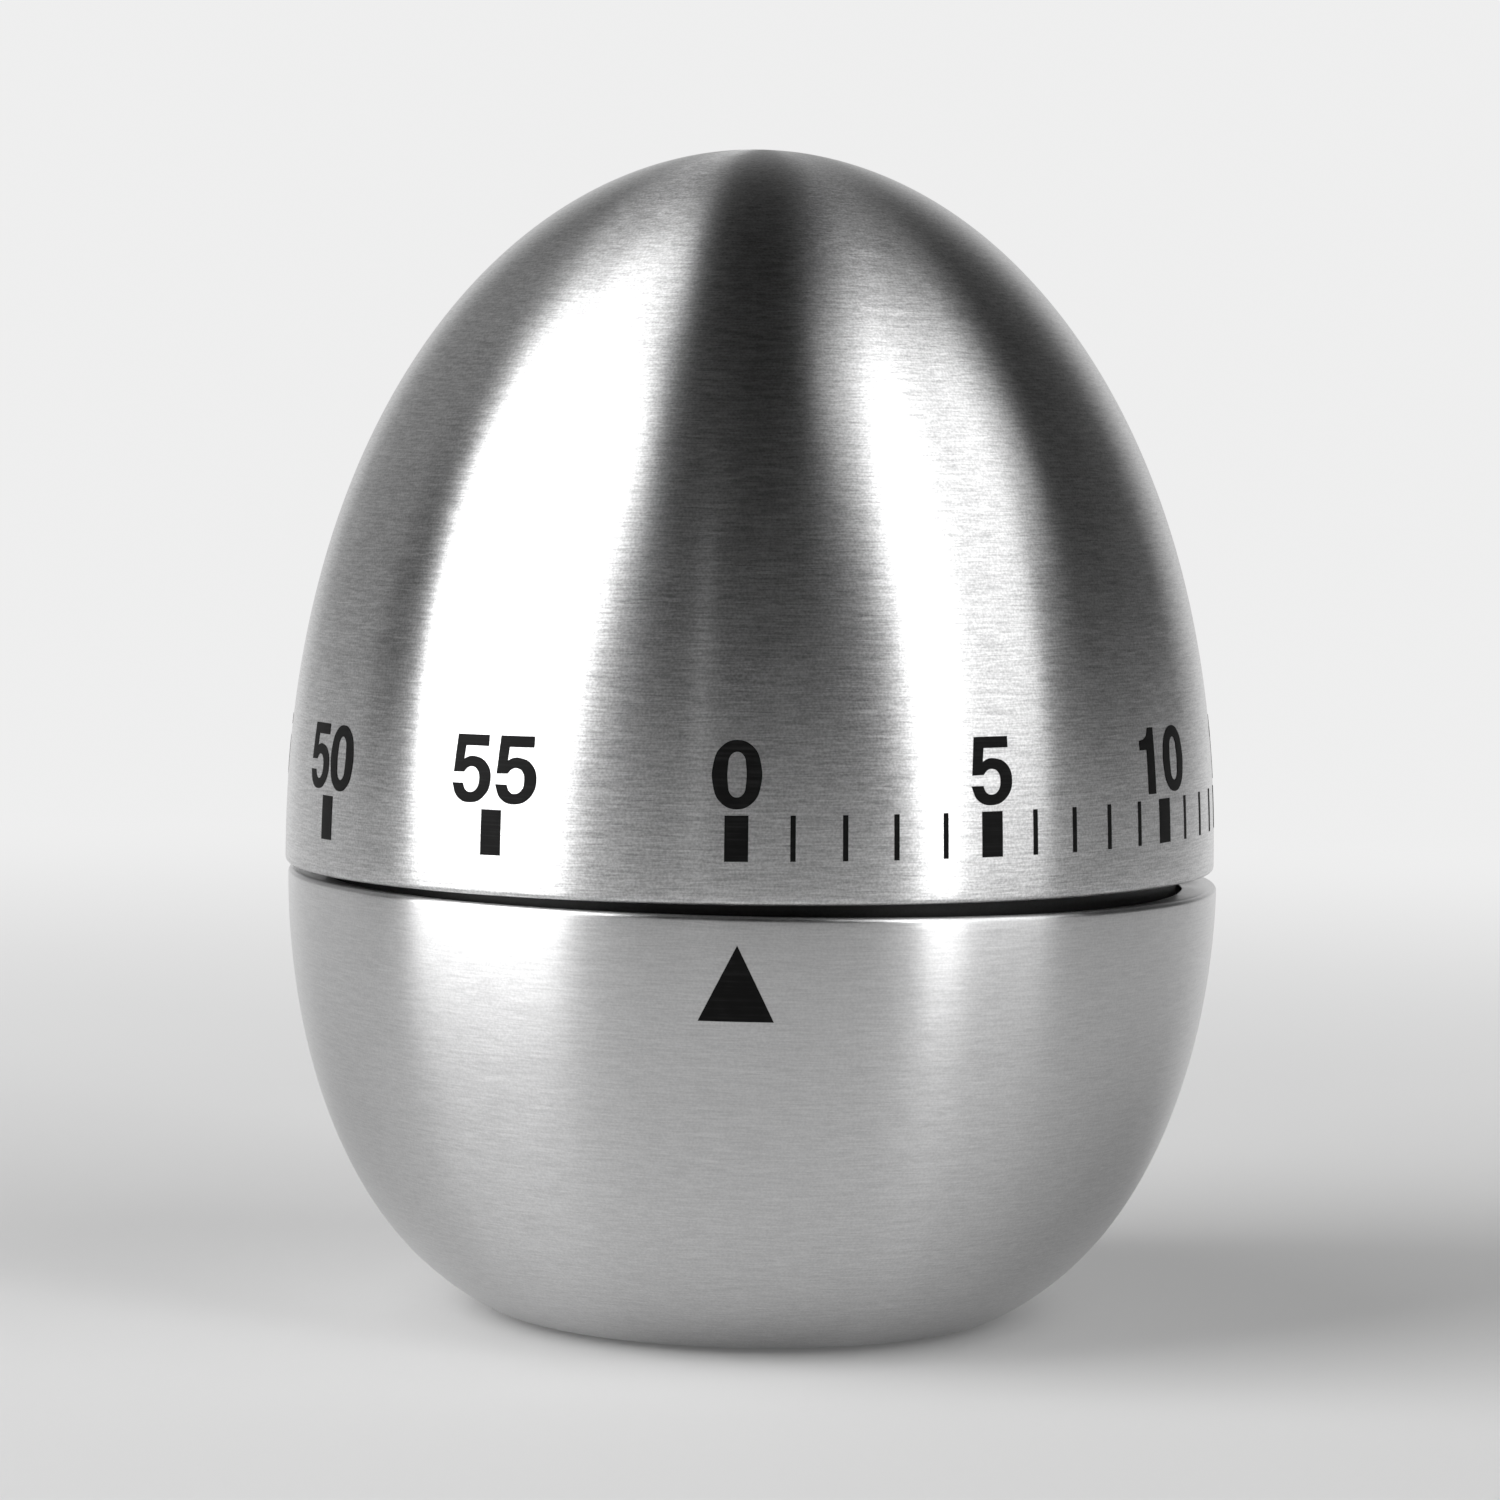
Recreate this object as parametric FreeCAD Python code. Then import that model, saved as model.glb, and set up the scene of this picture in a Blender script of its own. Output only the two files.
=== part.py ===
"""Egg-shaped 60 minute kitchen timer: steel shells, dial, spring movement and bell.

Millimetres, +Z up. The origin is the centre of the foot pad's underside, and the
pointer on the lower shell faces -Y. Every piece is a separate solid in its own node.
"""

import FreeCAD
import Part
import math
import os

V = FreeCAD.Vector
UP = V(0, 0, 1)

# ---------------------------------------------------------------- driving dimensions
# The egg
egg_radius = 30.0
egg_height = 75.2
seam_height = 28.05  # top of the lower shell's rim
seam_gap = 0.92  # open slot between the two shells
upper_fullness = 2.2  # exponent of the dome's outline
lower_depth = 30.03  # depth below the seam at which the bowl's outline would close
lower_fullness = 1.96  # exponents of the bowl's outline
lower_squareness = 3.3
shell_wall = 0.4
rim_roll = 0.85  # outer radius of both rolled edges
lip_width = 2.2  # how far a rolled edge turns in
lip_slope = 0.25  # rise of the lip away from the slot
base_blend = 0.35  # height of the arc between the bowl and its flat base

# The foot
foot_proud = 0.25  # the pad stands this far below the steel
recess_radius = 13.6
recess_depth = 1.15
pad_gap = 0.15
pad_chamfer = 0.3
base_screw_circle = 9.5
base_screw_radius = 1.0
base_screw_head = 1.9
base_screw_head_height = 0.9
base_screw_length = 2.1
base_screw_angles = (90, 210, 330)

# Moulded parts
cup_gap = 0.25
cup_wall = 1.2
cup_boss_radius = 2.4
cup_boss_height = 0.7
collar_gap = 0.4  # between the collar and the lip of each shell
collar_overlap = 2.5  # how far the collar rises past the slot
insert_gap = 0.7  # dial insert above the collar
insert_wall = 1.2
insert_glue = 0.1
insert_web_height = 36.0
insert_web = 1.4
insert_ribs = 6
insert_rib_height = 4.0
insert_window_circle = 16.5  # round openings in the web, between the ribs
insert_window_radius = 4.2
hub_radius = 4.6
hub_bottom = 30.5
hub_top = 41.0

# Movement frame
plate_radius = 22.0
plate_thickness = 0.8
bottom_plate_z = 10.0
frame_space = 13.2  # between the plates
pillar_circle = 20.5
pillar_radius = 1.0
pillar_angles = (60, 173.5, 270, 340)
pillar_rivet = 0.6
frame_screw_circle = 23.9
frame_screw_angles = (90, 210, 330)
frame_boss_radius = 2.0
frame_boss_length = 9.5
frame_screw_radius = 0.8
frame_screw_head = 1.5
frame_screw_length = 5.0
pillar_screw_radius = 0.5
pillar_screw_head = 1.1
pillar_screw_length = 3.0
screw_head_height = 0.7
slot_width = 0.35
slot_depth = 0.35
screw_fit = 0.02  # radial gap round a thread in its pilot hole
screw_clearance = 0.12  # radial gap round a screw that passes through
screw_tip_gap = 0.4  # depth left below a screw's end
rivet_radius = 0.5

# Fits
running = 0.05  # radial clearance of a turning shaft
press = 0.01  # radial gap of a pressed seat
hub_fit = 0.02  # gap round the arbor in the dial's socket
rivet_gap = 0.1  # free height under a rivet's head
pivot_radius = 0.35
arbor_radius = 0.6
collar_step = 0.7  # a collar stands this far out from its arbor
collar_height = 0.5
end_shake = 0.1

# Winding arbor and dial drive
winding_radius = 2.0
winding_pivot = 1.2
winding_flat = 1.5  # distance from the axis to the flat
flat_run_out = 0.5  # the flat starts this far below the hub
socket_clearance = 0.2  # above the arbor's end
winding_top = 39.3
winding_pivot_proud = 0.3  # below the bottom plate
core_radius = 2.6
core_play = 0.3  # above and below the core, in the drum
dial_travel = 354.0  # degrees, from zero to 59 minutes
cam_radius = 6.5
cam_thickness = 1.0
cam_lift = 0.3  # above the top plate
cam_notch = 1.4
stop_circle = 13.5
stop_pin_radius = 0.35
stop_tab_width = 0.6
stop_pin_angle = 250.0
stop_arm_z = 27.0
stop_arm_thickness = 0.8
stop_arm_width = 2.4
stop_hub_radius = 3.4
stop_tab_reach = 1.0  # past the pin's centre
stop_tab_root = 1.4  # short of the pin's centre
stop_pin_proud = 0.2

# Going train
pressure_angle = math.radians(25)
addendum = 0.75
dedendum = 1.0
backlash = 0.04  # taken off each tooth at the pitch circle
pinion_teeth = 8
great_teeth, great_module = 56, 0.36
second_teeth, second_module = 48, 0.34
third_teeth, third_module = 48, 0.30
wheel_thickness = 0.8
thin_wheel = 0.7  # the second and third wheels
great_z = 18.0
second_z = 20.4
third_z = 22.2
second_angle = 150.0
third_circle = 12.6
escape_circle = 14.9
pinion_overhang = 0.6  # leaves past each face of the wheel they mesh with
wheel_rim = 1.6  # solid rim inside the teeth
wheel_hub = 2.2
wheel_holes = 5

# Ratchet and click
ratchet_teeth = 16
ratchet_radius = 4.5
ratchet_depth = 0.7
ratchet_thickness = 0.8
click_pivot_circle = 7.2
click_gap = 0.2
click_width = 2.2
click_nose_width = 0.8
click_reach = 42.0  # degrees round the ratchet from its pivot to its nose
click_rivet_head = 0.9
click_rivet_head_height = 0.3
click_spring_thickness = 0.2
click_spring_circle = 8.3
click_spring_foot_angle = 66.0  # from the click's pivot, round the ratchet
click_spring_tip_circle = 6.9
click_spring_tip_angle = 24.0
spring_foot_radius = 0.6
spring_edge_gap = 0.1  # a leaf is this much lower than its foot on each side

# Escapement
escape_teeth = 18
escape_radius = 4.6
escape_depth = 1.2
escape_hole = 0.75
escape_hole_circle = 2.1
escape_z = 13.4
escape_thickness = 0.7
pallet_distance = 6.3
pallet_circle = 15.2
pallet_rise = 0.8  # lever above the escape wheel
pallet_thickness = 0.6
pallet_pin_radius = 0.2
pallet_pin_circle = 5.15  # clear of the tooth tips at both ends of the rock
pallet_pin_angle = 25.0
balance_distance = 7.6
balance_circle = 13.2
balance_radius = 6.0
balance_rim = 1.1
balance_z = 20.4
balance_thickness = 1.0
balance_staff = 0.5
roller_radius = 2.2
roller_z = 16.0
roller_thickness = 0.5
impulse_circle = 1.6
impulse_pin = 0.2
fork_gap = 0.3
hairspring_z = 22.0
hairspring_height = 0.5
hairspring_strip = 0.1
hairspring_pitch = 0.42
hairspring_turns = 7
collet_radius = 0.95

# Mainspring and barrel
barrel_z = 11.6
barrel_height = 5.9
barrel_floor = 0.8
barrel_radius = 9.3
barrel_wall = 0.6
barrel_cover_thickness = 0.6
barrel_cover_sink = 0.1
mainspring_strip = 0.25
mainspring_pitch = 0.62
mainspring_turns = 9
mainspring_gap = 0.3  # above and below the strip
mainspring_seat = 0.05  # round the core

# Bell and hammer
strike_angle = 20.0
star_teeth = 15
star_radius = 4.0
star_depth = 1.1
star_z = 20.4
hammer_distance = 5.6
hammer_circle = 15.6
hammer_anchor_gap = 0.35
bell_radius = 16.0
bell_wall = 0.8
bell_height = 4.8
bell_rise = 1.0  # boss under the bell
bell_boss_radius = 3.0
bell_corner = 3.0
bell_screw_radius = 1.0
bell_screw_head = 2.4
bell_screw_head_height = 1.0
hammer_arm_thickness = 0.5
hammer_arm_gap = 0.4  # below the bottom plate
hammer_head_radius = 1.2
hammer_head_length = 2.4
hammer_head_gap = 0.6
hammer_head_angle = 35.0

# Release lever
lever_pivot_circle = 14.0
lever_pivot_angle = 330.0
lever_post_radius = 0.8
lever_post_head = 1.3
lever_post_head_height = 0.4
lever_thickness = 0.6
lever_gap = 0.5  # above the top plate
lever_nose_gap = 0.15
lever_nose_length = 1.6
lever_nose_width = 0.9
lever_width = 2.6  # at the pivot
lever_elbow_width = 1.0
lever_tail_width = 1.5
lever_spring_foot_circle = 2.9
lever_spring_foot_angle = 62.0  # from the tail
lever_spring_reach = 6.0
lever_spring_rivet = 0.4
lever_spring_thickness = 0.2
lever_spring_gap = 0.12
lock_pin_radius = 0.35
lock_pin_gap = 0.3  # outside the star wheel's tips
lock_pin_travel = 1.2

# ---------------------------------------------------------------- derived places
upper_edge = seam_height + seam_gap
dome_height = egg_height - upper_edge
recess_top = foot_proud + recess_depth
cup_floor = recess_top + shell_wall
cup_floor_top = cup_floor + cup_wall
lip_radius = egg_radius - lip_width
collar_radius = lip_radius - collar_gap
collar_top = upper_edge + collar_overlap
bottom_plate_top = bottom_plate_z + plate_thickness
top_plate_z = bottom_plate_top + frame_space
top_plate_top = top_plate_z + plate_thickness
cam_z = top_plate_top + cam_lift
escape_top = escape_z + escape_thickness
pallet_z = escape_top + pallet_rise
ratchet_z = great_z + wheel_thickness + click_gap
bell_z = cup_floor_top + bell_rise
hammer_arm_z = bottom_plate_z - hammer_arm_gap - hammer_arm_thickness
lever_z = top_plate_top + lever_gap


def polar(radius, angle, centre=(0.0, 0.0)):
    """Point at a radius and angle in degrees about a centre, as (x, y)."""
    a = math.radians(angle)
    return (centre[0] + radius * math.cos(a), centre[1] + radius * math.sin(a))


def bearing(a, b):
    """Direction in degrees from point a to point b."""
    return math.degrees(math.atan2(b[1] - a[1], b[0] - a[0]))


def span(a, b):
    """Distance between two points."""
    return math.hypot(b[0] - a[0], b[1] - a[1])


def chained(previous_radius, radius, distance):
    """Angle at the centre, in degrees, between two points a given distance apart."""
    cosine = (previous_radius**2 + radius**2 - distance**2) / (2 * previous_radius * radius)
    return math.degrees(math.acos(cosine))


# Plan of the movement: arbors stand round the centre, each in mesh with the last.
great_distance = great_module * (great_teeth + pinion_teeth) / 2
second_distance = second_module * (second_teeth + pinion_teeth) / 2
third_distance = third_module * (third_teeth + pinion_teeth) / 2
third_angle = second_angle + chained(great_distance, third_circle, second_distance)
escape_angle = third_angle + chained(third_circle, escape_circle, third_distance)
pallet_angle = escape_angle + chained(escape_circle, pallet_circle, pallet_distance)
balance_angle = pallet_angle + chained(pallet_circle, balance_circle, balance_distance)
hammer_angle = strike_angle + chained(great_distance, hammer_circle, hammer_distance)

CENTRE = (0.0, 0.0)
SECOND = polar(great_distance, second_angle)
THIRD = polar(third_circle, third_angle)
ESCAPE = polar(escape_circle, escape_angle)
PALLET = polar(pallet_circle, pallet_angle)
BALANCE = polar(balance_circle, balance_angle)
STRIKE = polar(great_distance, strike_angle)
HAMMER = polar(hammer_circle, hammer_angle)
LEVER = polar(lever_pivot_circle, lever_pivot_angle)

# The lever's nose moves square to the cam, and its lock pin square to the star wheel.
elbow_radius = cam_radius + lever_nose_gap + lever_nose_length
nose_angle = lever_pivot_angle - math.degrees(math.acos(elbow_radius / lever_pivot_circle))
lock_radius = star_radius + lock_pin_radius + lock_pin_gap
lock_angle = bearing(STRIKE, LEVER) + math.degrees(math.acos(lock_radius / span(STRIKE, LEVER)))
LOCK = polar(lock_radius, lock_angle, STRIKE)


# ---------------------------------------------------------------- shape helpers
def at(point, z):
    """3-D point from a plan point and a height."""
    return V(point[0], point[1], z)


def rod(point, radius, z0, z1):
    """Upright cylinder between two heights."""
    return Part.makeCylinder(radius, z1 - z0, at(point, z0), UP)


def ring(point, outer, inner, z0, z1):
    """Upright tube between two heights."""
    return rod(point, outer, z0, z1).cut(rod(point, inner, z0 - 1, z1 + 1))


def section(*edges):
    """Solid of revolution about Z from edges that close a loop in the XZ plane."""
    face = Part.Face(Part.Wire(Part.sortEdges(list(edges))[0]))
    return face.revolve(V(0, 0, 0), UP, 360)


def flat(r, z):
    """Point of a radial section."""
    return V(r, 0, z)


def line(*points):
    """Edges of an open polyline."""
    return [Part.makeLine(a, b) for a, b in zip(points, points[1:])]


def curve(points):
    """Smooth edge through points."""
    spline = Part.BSplineCurve()
    spline.interpolate(points)
    return spline.toShape()


def plate(points, z0, thickness):
    """Flat plate with a polygonal outline, standing on z0."""
    corners = [V(x, y, z0) for x, y in points]
    face = Part.Face(Part.makePolygon(corners + corners[:1]))
    return face.extrude(V(0, 0, thickness))


def strap(a, b, width_a, width_b, z0, thickness):
    """Flat arm with round ends from plan point a to b, tapering between two widths."""
    side = math.radians(bearing(a, b) + 90)
    ux, uy = math.cos(side), math.sin(side)
    corners = [
        (a[0] + ux * width_a / 2, a[1] + uy * width_a / 2),
        (b[0] + ux * width_b / 2, b[1] + uy * width_b / 2),
        (b[0] - ux * width_b / 2, b[1] - uy * width_b / 2),
        (a[0] - ux * width_a / 2, a[1] - uy * width_a / 2),
    ]
    ends = [rod(a, width_a / 2, z0, z0 + thickness), rod(b, width_b / 2, z0, z0 + thickness)]
    return plate(corners, z0, thickness).fuse(ends).removeSplitter()


def screw(point, z_seat, radius, length, head_radius, head_height, down=True):
    """Slotted screw: its head bears on z_seat and its shank runs away from the head."""
    way = -1 if down else 1
    shank = Part.makeCylinder(radius, length, at(point, z_seat), V(0, 0, way))
    head = Part.makeCylinder(head_radius, head_height, at(point, z_seat), V(0, 0, -way))
    slot = Part.makeBox(2 * head_radius + 1, slot_width, 2 * slot_depth)
    top = z_seat - way * head_height
    slot.translate(at(point, top) - V(head_radius + 0.5, slot_width / 2, slot_depth))
    return shank.fuse(head).removeSplitter().cut(slot)


def spiral(point, inner, strip, pitch, turns, z0, height, start_angle=0.0):
    """Flat coiled spring of half circles whose centres alternate by half a pitch."""
    edges_in, edges_out = [], []
    for k in range(2 * turns):
        radius = inner + k * pitch / 2
        shift = pitch / 2 if k % 2 else 0.0
        a0 = math.pi * (k % 2)
        for store, r in ((edges_in, radius), (edges_out, radius + strip)):
            pts = [V(shift + r * math.cos(a0 + t), r * math.sin(a0 + t), z0)
                   for t in (0, math.pi / 2, math.pi)]
            store.append(Part.Arc(*pts).toShape())
    start = Part.makeLine(edges_in[0].Vertexes[0].Point, edges_out[0].Vertexes[0].Point)
    end = Part.makeLine(edges_in[-1].Vertexes[-1].Point, edges_out[-1].Vertexes[-1].Point)
    loop = Part.Wire(Part.sortEdges(edges_in + edges_out + [start, end])[0])
    solid = Part.Face(loop).extrude(V(0, 0, height))
    solid.rotate(V(0, 0, 0), UP, start_angle)
    solid.translate(V(point[0], point[1], 0))
    return solid


def tooth_outline(teeth, module, phase, flank_points=5):
    """Polygon of an involute gear about the origin, one tooth centred on phase degrees."""
    pitch = module * teeth / 2
    base = pitch * math.cos(pressure_angle)
    tip, root = pitch + addendum * module, pitch - dedendum * module
    involute = lambda a: math.tan(a) - a
    half_pitch = math.pi / (2 * teeth) - backlash / (2 * pitch)

    def half_angle(r):
        a = math.acos(min(1.0, base / r))
        return half_pitch + involute(pressure_angle) - involute(a)

    start = max(base, root)
    radii = [start + (tip - start) * k / (flank_points - 1) for k in range(flank_points)]
    flank = [(r, half_angle(r)) for r in radii]
    if root < base:
        flank.insert(0, (root, half_angle(base)))
    points = []
    for k in range(teeth):
        middle = math.radians(phase) + 2 * math.pi * k / teeth
        points += [(r * math.cos(middle - h), r * math.sin(middle - h)) for r, h in flank]
        points += [(r * math.cos(middle + h), r * math.sin(middle + h)) for r, h in reversed(flank)]
    return points


def moved(points, centre):
    """Polygon shifted to a plan point."""
    return [(x + centre[0], y + centre[1]) for x, y in points]


def wheel(centre, teeth, module, phase, z0, bore, thickness=wheel_thickness):
    """Toothed disc with round lightening holes between its rim and hub."""
    solid = plate(moved(tooth_outline(teeth, module, phase), centre), z0, thickness)
    outer = module * teeth / 2 - dedendum * module - wheel_rim
    hole = (outer - wheel_hub) / 2
    holes = [rod(polar(wheel_hub + hole, phase + 360 * k / wheel_holes, centre), hole - 0.3,
                 z0 - 1, z0 + thickness + 1) for k in range(wheel_holes)]
    return solid.cut(holes + [rod(centre, bore, z0 - 1, z0 + thickness + 1)])


def pointed_wheel(centre, teeth, tip, depth, lean, phase, z0, thickness, bore):
    """Disc of pointed teeth; lean is how far each tip leads its root, in tooth pitches."""
    points = []
    for k in range(teeth):
        a = phase + 360 * k / teeth
        points.append(polar(tip - depth, a, centre))
        points.append(polar(tip, a + lean * 360 / teeth, centre))
        points.append(polar(tip - depth / 8, a + (lean + 0.08) * 360 / teeth, centre))
        points.append(polar(tip - depth, a + 0.5 * 360 / teeth, centre))
    solid = plate(points, z0, thickness)
    return solid.cut(rod(centre, bore, z0 - 1, z0 + thickness + 1))


def arbor(centre, seats, low=None, high=None, radius=arbor_radius, pivot=pivot_radius):
    """Shaft between the plates with a pivot in each, and a collar under each seat."""
    low = bottom_plate_top + end_shake if low is None else low
    high = top_plate_z - end_shake if high is None else high
    shaft = rod(centre, radius, low, high)
    pivots = [rod(centre, pivot, bottom_plate_z, low + 0.1), rod(centre, pivot, high - 0.1, top_plate_top)]
    collars = [rod(centre, radius + collar_step, z - collar_height, z) for z in seats]
    return shaft.fuse(pivots + collars).removeSplitter()


def pinion(centre, driver, module, mesh_z, seats, mesh_thickness=wheel_thickness):
    """Arbor with leaves cut to mesh with the wheel at driver."""
    gap = bearing(centre, driver)
    leaves = tooth_outline(pinion_teeth, module, gap + 180 / pinion_teeth)
    z0 = mesh_z - pinion_overhang
    length = mesh_thickness + 2 * pinion_overhang
    return arbor(centre, seats).fuse(plate(moved(leaves, centre), z0, length)).removeSplitter()


# ---------------------------------------------------------------- the egg's outline
def dome_point(angle, inset=0.0):
    """Point of the dome's section, angle 0 at the edge and 90 at the top, set in square to it."""
    def on_curve(a):
        return (egg_radius * math.cos(a), upper_edge + dome_height * math.sin(a) ** (2 / upper_fullness))
    a = math.radians(angle)
    step = 1e-4
    lo, hi = on_curve(max(a - step, 1e-9)), on_curve(min(a + step, math.pi / 2))
    tr, tz = hi[0] - lo[0], hi[1] - lo[1]
    size = math.hypot(tr, tz)
    r, z = on_curve(a)
    return flat(max(r - inset * tz / size, 0.0), z + inset * tr / size)


def bowl_radius(z):
    """Outer radius of the bowl at a height."""
    s = max(seam_height - z, 0.0) / lower_depth
    return egg_radius * (1 - s**lower_fullness) ** (1 / lower_squareness)


def bowl_point(z, inset=0.0):
    """Point of the bowl's section at a height, set in square to it."""
    step = 1e-4
    tr, tz = bowl_radius(z + step) - bowl_radius(z - step), 2 * step
    size = math.hypot(tr, tz)
    return flat(bowl_radius(z) - inset * tz / size, z + inset * tr / size)


def solve(function, low, high):
    """Where a rising function crosses zero between low and high."""
    for _ in range(60):
        middle = (low + high) / 2
        low, high = (middle, high) if function(middle) < 0 else (low, middle)
    return (low + high) / 2


def dome_curve(inset, start_z, end_angle=90.0, count=13):
    """Points up the dome from a height to an angle near the top."""
    first = solve(lambda a: dome_point(a, inset).z - start_z, 0.05, 60)
    return [dome_point(first + (end_angle - first) * k / (count - 1), inset) for k in range(count)]


def bowl_curve(inset, high_z, low_z, count=12):
    """Points down the bowl, closer together towards the base."""
    drop = high_z - low_z
    points = []
    for k in range(count):
        share = math.sin(math.pi / 2 * k / (count - 1))
        points.append(bowl_point(high_z - drop * share, inset))
    return points


def rolled_edge(z_edge, away, inset):
    """Arc of a rolled edge from the wall to the lip; away is +1 above the slot, -1 below."""
    centre_r, centre_z = egg_radius - rim_roll, z_edge + away * rim_roll
    radius = rim_roll - inset
    wall = flat(centre_r + radius, centre_z)
    middle = flat(centre_r + radius * math.cos(math.pi / 4), centre_z - away * radius * math.sin(math.pi / 4))
    lip = flat(centre_r, centre_z - away * radius)
    return wall, lip, Part.Arc(wall, middle, lip).toShape()


# ---------------------------------------------------------------- shells and base
def upper_shell():
    """Drawn steel dome with its edge rolled in."""
    outer_wall, outer_lip, outer_roll = rolled_edge(upper_edge, 1, 0)
    inner_wall, inner_lip, inner_roll = rolled_edge(upper_edge, 1, shell_wall)
    outer = dome_curve(0, outer_wall.z)
    inner = dome_curve(shell_wall, inner_wall.z)
    outer[0], inner[0] = outer_wall, inner_wall
    outer[-1], inner[-1] = flat(0, egg_height), flat(0, egg_height - shell_wall)
    lip = flat(lip_radius, upper_edge + lip_slope)
    lip_back = lip + V(0, 0, shell_wall)
    edges = [curve(outer), curve(inner), outer_roll, inner_roll]
    edges += line(outer_lip, lip, lip_back, inner_lip) + line(outer[-1], inner[-1])
    return section(*edges)


def base_corner(inset):
    """Arc that blends the bowl into its flat base, with its two ends."""
    start = bowl_point(foot_proud + base_blend)
    step = 1e-4
    tr = bowl_radius(start.z) - bowl_radius(start.z - step)
    slope = math.atan2(step, tr)
    reach = (start.z - foot_proud) / math.sin(slope)
    corner_r = start.x - (start.z - foot_proud) / math.tan(slope)
    radius = reach / math.tan(slope / 2)
    centre = V(corner_r - reach, 0, foot_proud + radius)
    ends = []
    for turn in (slope, slope / 2, 0.0):
        r = radius - inset
        ends.append(V(centre.x + r * math.sin(turn), 0, centre.z - r * math.cos(turn)))
    return ends[0], ends[2], Part.Arc(*ends).toShape()


def base_holes(radius, z0, z1):
    """Cutters for the screws that hold the bowl to the cup."""
    return [rod(polar(base_screw_circle, a), radius, z0, z1) for a in base_screw_angles]


def lower_shell():
    """Drawn steel bowl: rolled rim, flat base and a stamped recess for the foot pad."""
    outer_wall, outer_lip, outer_roll = rolled_edge(seam_height, -1, 0)
    inner_wall, inner_lip, inner_roll = rolled_edge(seam_height, -1, shell_wall)
    out_top, out_base, out_arc = base_corner(0)
    in_top, in_base, in_arc = base_corner(shell_wall)
    blend_z = foot_proud + base_blend
    outer = bowl_curve(0, outer_wall.z, blend_z)
    inner = bowl_curve(shell_wall, inner_wall.z, blend_z)
    outer[0], inner[0], outer[-1], inner[-1] = outer_wall, inner_wall, out_top, in_top
    lip = flat(lip_radius, seam_height - lip_slope)
    lip_back = lip - V(0, 0, shell_wall)
    floor = foot_proud + shell_wall
    under = line(out_base, flat(recess_radius, foot_proud), flat(recess_radius, recess_top),
                 flat(0, recess_top), flat(0, cup_floor))
    over = line(flat(0, cup_floor), flat(recess_radius + shell_wall, cup_floor),
                flat(recess_radius + shell_wall, floor), in_base)
    edges = [curve(outer), curve(inner), outer_roll, inner_roll, out_arc, in_arc]
    edges += line(outer_lip, lip, lip_back, inner_lip) + under + over
    hole = base_screw_radius + 0.2
    return section(*edges).cut(base_holes(hole, 0, cup_floor + 0.5))


def base_pad():
    """Rubber foot with a pocket round each screw head."""
    disc = rod(CENTRE, recess_radius - pad_gap, 0, recess_top)
    rim = [e for e in disc.Edges if e.BoundBox.ZMax < 1e-6 and e.Length > 1]
    disc = disc.makeChamfer(pad_chamfer, rim)
    return disc.cut(base_holes(base_screw_head + 0.4, -1, recess_top + 1))


def base_screws():
    """Three screws driven up through the bowl into the cup."""
    return Part.makeCompound([
        screw(polar(base_screw_circle, a), recess_top, base_screw_radius, base_screw_length,
              base_screw_head, base_screw_head_height, down=False)
        for a in base_screw_angles])


def movement_cup():
    """Moulded cup that lines the bowl, carries the movement and shows as a dark collar."""
    inset = shell_wall + cup_gap
    join_z = solve(lambda z: bowl_point(z, inset).x - collar_radius, cup_floor, seam_height - rim_roll)
    low_z = solve(lambda z: bowl_point(z, inset).z - cup_floor, foot_proud, cup_floor + 2)
    outer = bowl_curve(inset, join_z, low_z)
    join_in = solve(lambda z: bowl_point(z, inset + cup_wall).x - (collar_radius - cup_wall),
                    cup_floor, seam_height - rim_roll)
    low_in = solve(lambda z: bowl_point(z, inset + cup_wall).z - cup_floor_top, foot_proud, cup_floor + 4)
    inner = bowl_curve(inset + cup_wall, join_in, low_in)
    outer_join, outer_low = outer[0], outer[-1]
    inner_join, inner_low = inner[0], inner[-1]
    boss_top = bell_z
    boss = bell_boss_radius
    edges = [curve(outer), curve(inner)]
    collar_inside = collar_radius - cup_wall
    edges += line(outer_join, flat(collar_radius, collar_top), flat(collar_inside, collar_top), inner_join)
    edges += line(outer_low, flat(0, cup_floor), flat(0, boss_top), flat(boss, boss_top),
                  flat(boss, cup_floor_top), inner_low)
    bosses = [frame_boss(a, inset + cup_wall / 2) for a in frame_screw_angles]
    bosses += [rod(polar(base_screw_circle, a), cup_boss_radius, cup_floor, cup_floor_top + cup_boss_height)
               for a in base_screw_angles]
    cup = section(*edges).fuse(bosses).removeSplitter()
    pilots = base_holes(base_screw_radius + screw_fit, 0, recess_top + base_screw_length + 0.1)
    pilot_end = top_plate_z - frame_screw_length - screw_tip_gap
    pilots += [rod(polar(frame_screw_circle, a), frame_screw_radius + screw_fit, pilot_end, top_plate_z + 1)
               for a in frame_screw_angles]
    pilots.append(rod(CENTRE, bell_screw_radius + screw_fit, cup_floor + 0.4, boss_top + 1))
    return cup.cut(pilots)


def frame_boss(angle, inset):
    """Screw boss with a radial web whose outer edge runs up the middle of the cup's wall."""
    low = top_plate_z - frame_boss_length
    middle = [bowl_point(low + (top_plate_z - low) * k / 6, inset) for k in range(7)]
    middle = [flat(min(p.x, collar_radius - cup_wall / 2), p.z) for p in middle if p.z < top_plate_z]
    top = [flat(middle[-1].x, top_plate_z), flat(frame_screw_circle, top_plate_z)]
    corners = [flat(frame_screw_circle, low)] + middle + top
    web = Part.Face(Part.makePolygon(corners + corners[:1])).extrude(V(0, cup_wall, 0))
    web.translate(V(0, -cup_wall / 2, 0))
    boss = web.fuse(rod((frame_screw_circle, 0), frame_boss_radius, low, top_plate_z))
    boss.rotate(V(0, 0, 0), UP, angle)
    return boss


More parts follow.
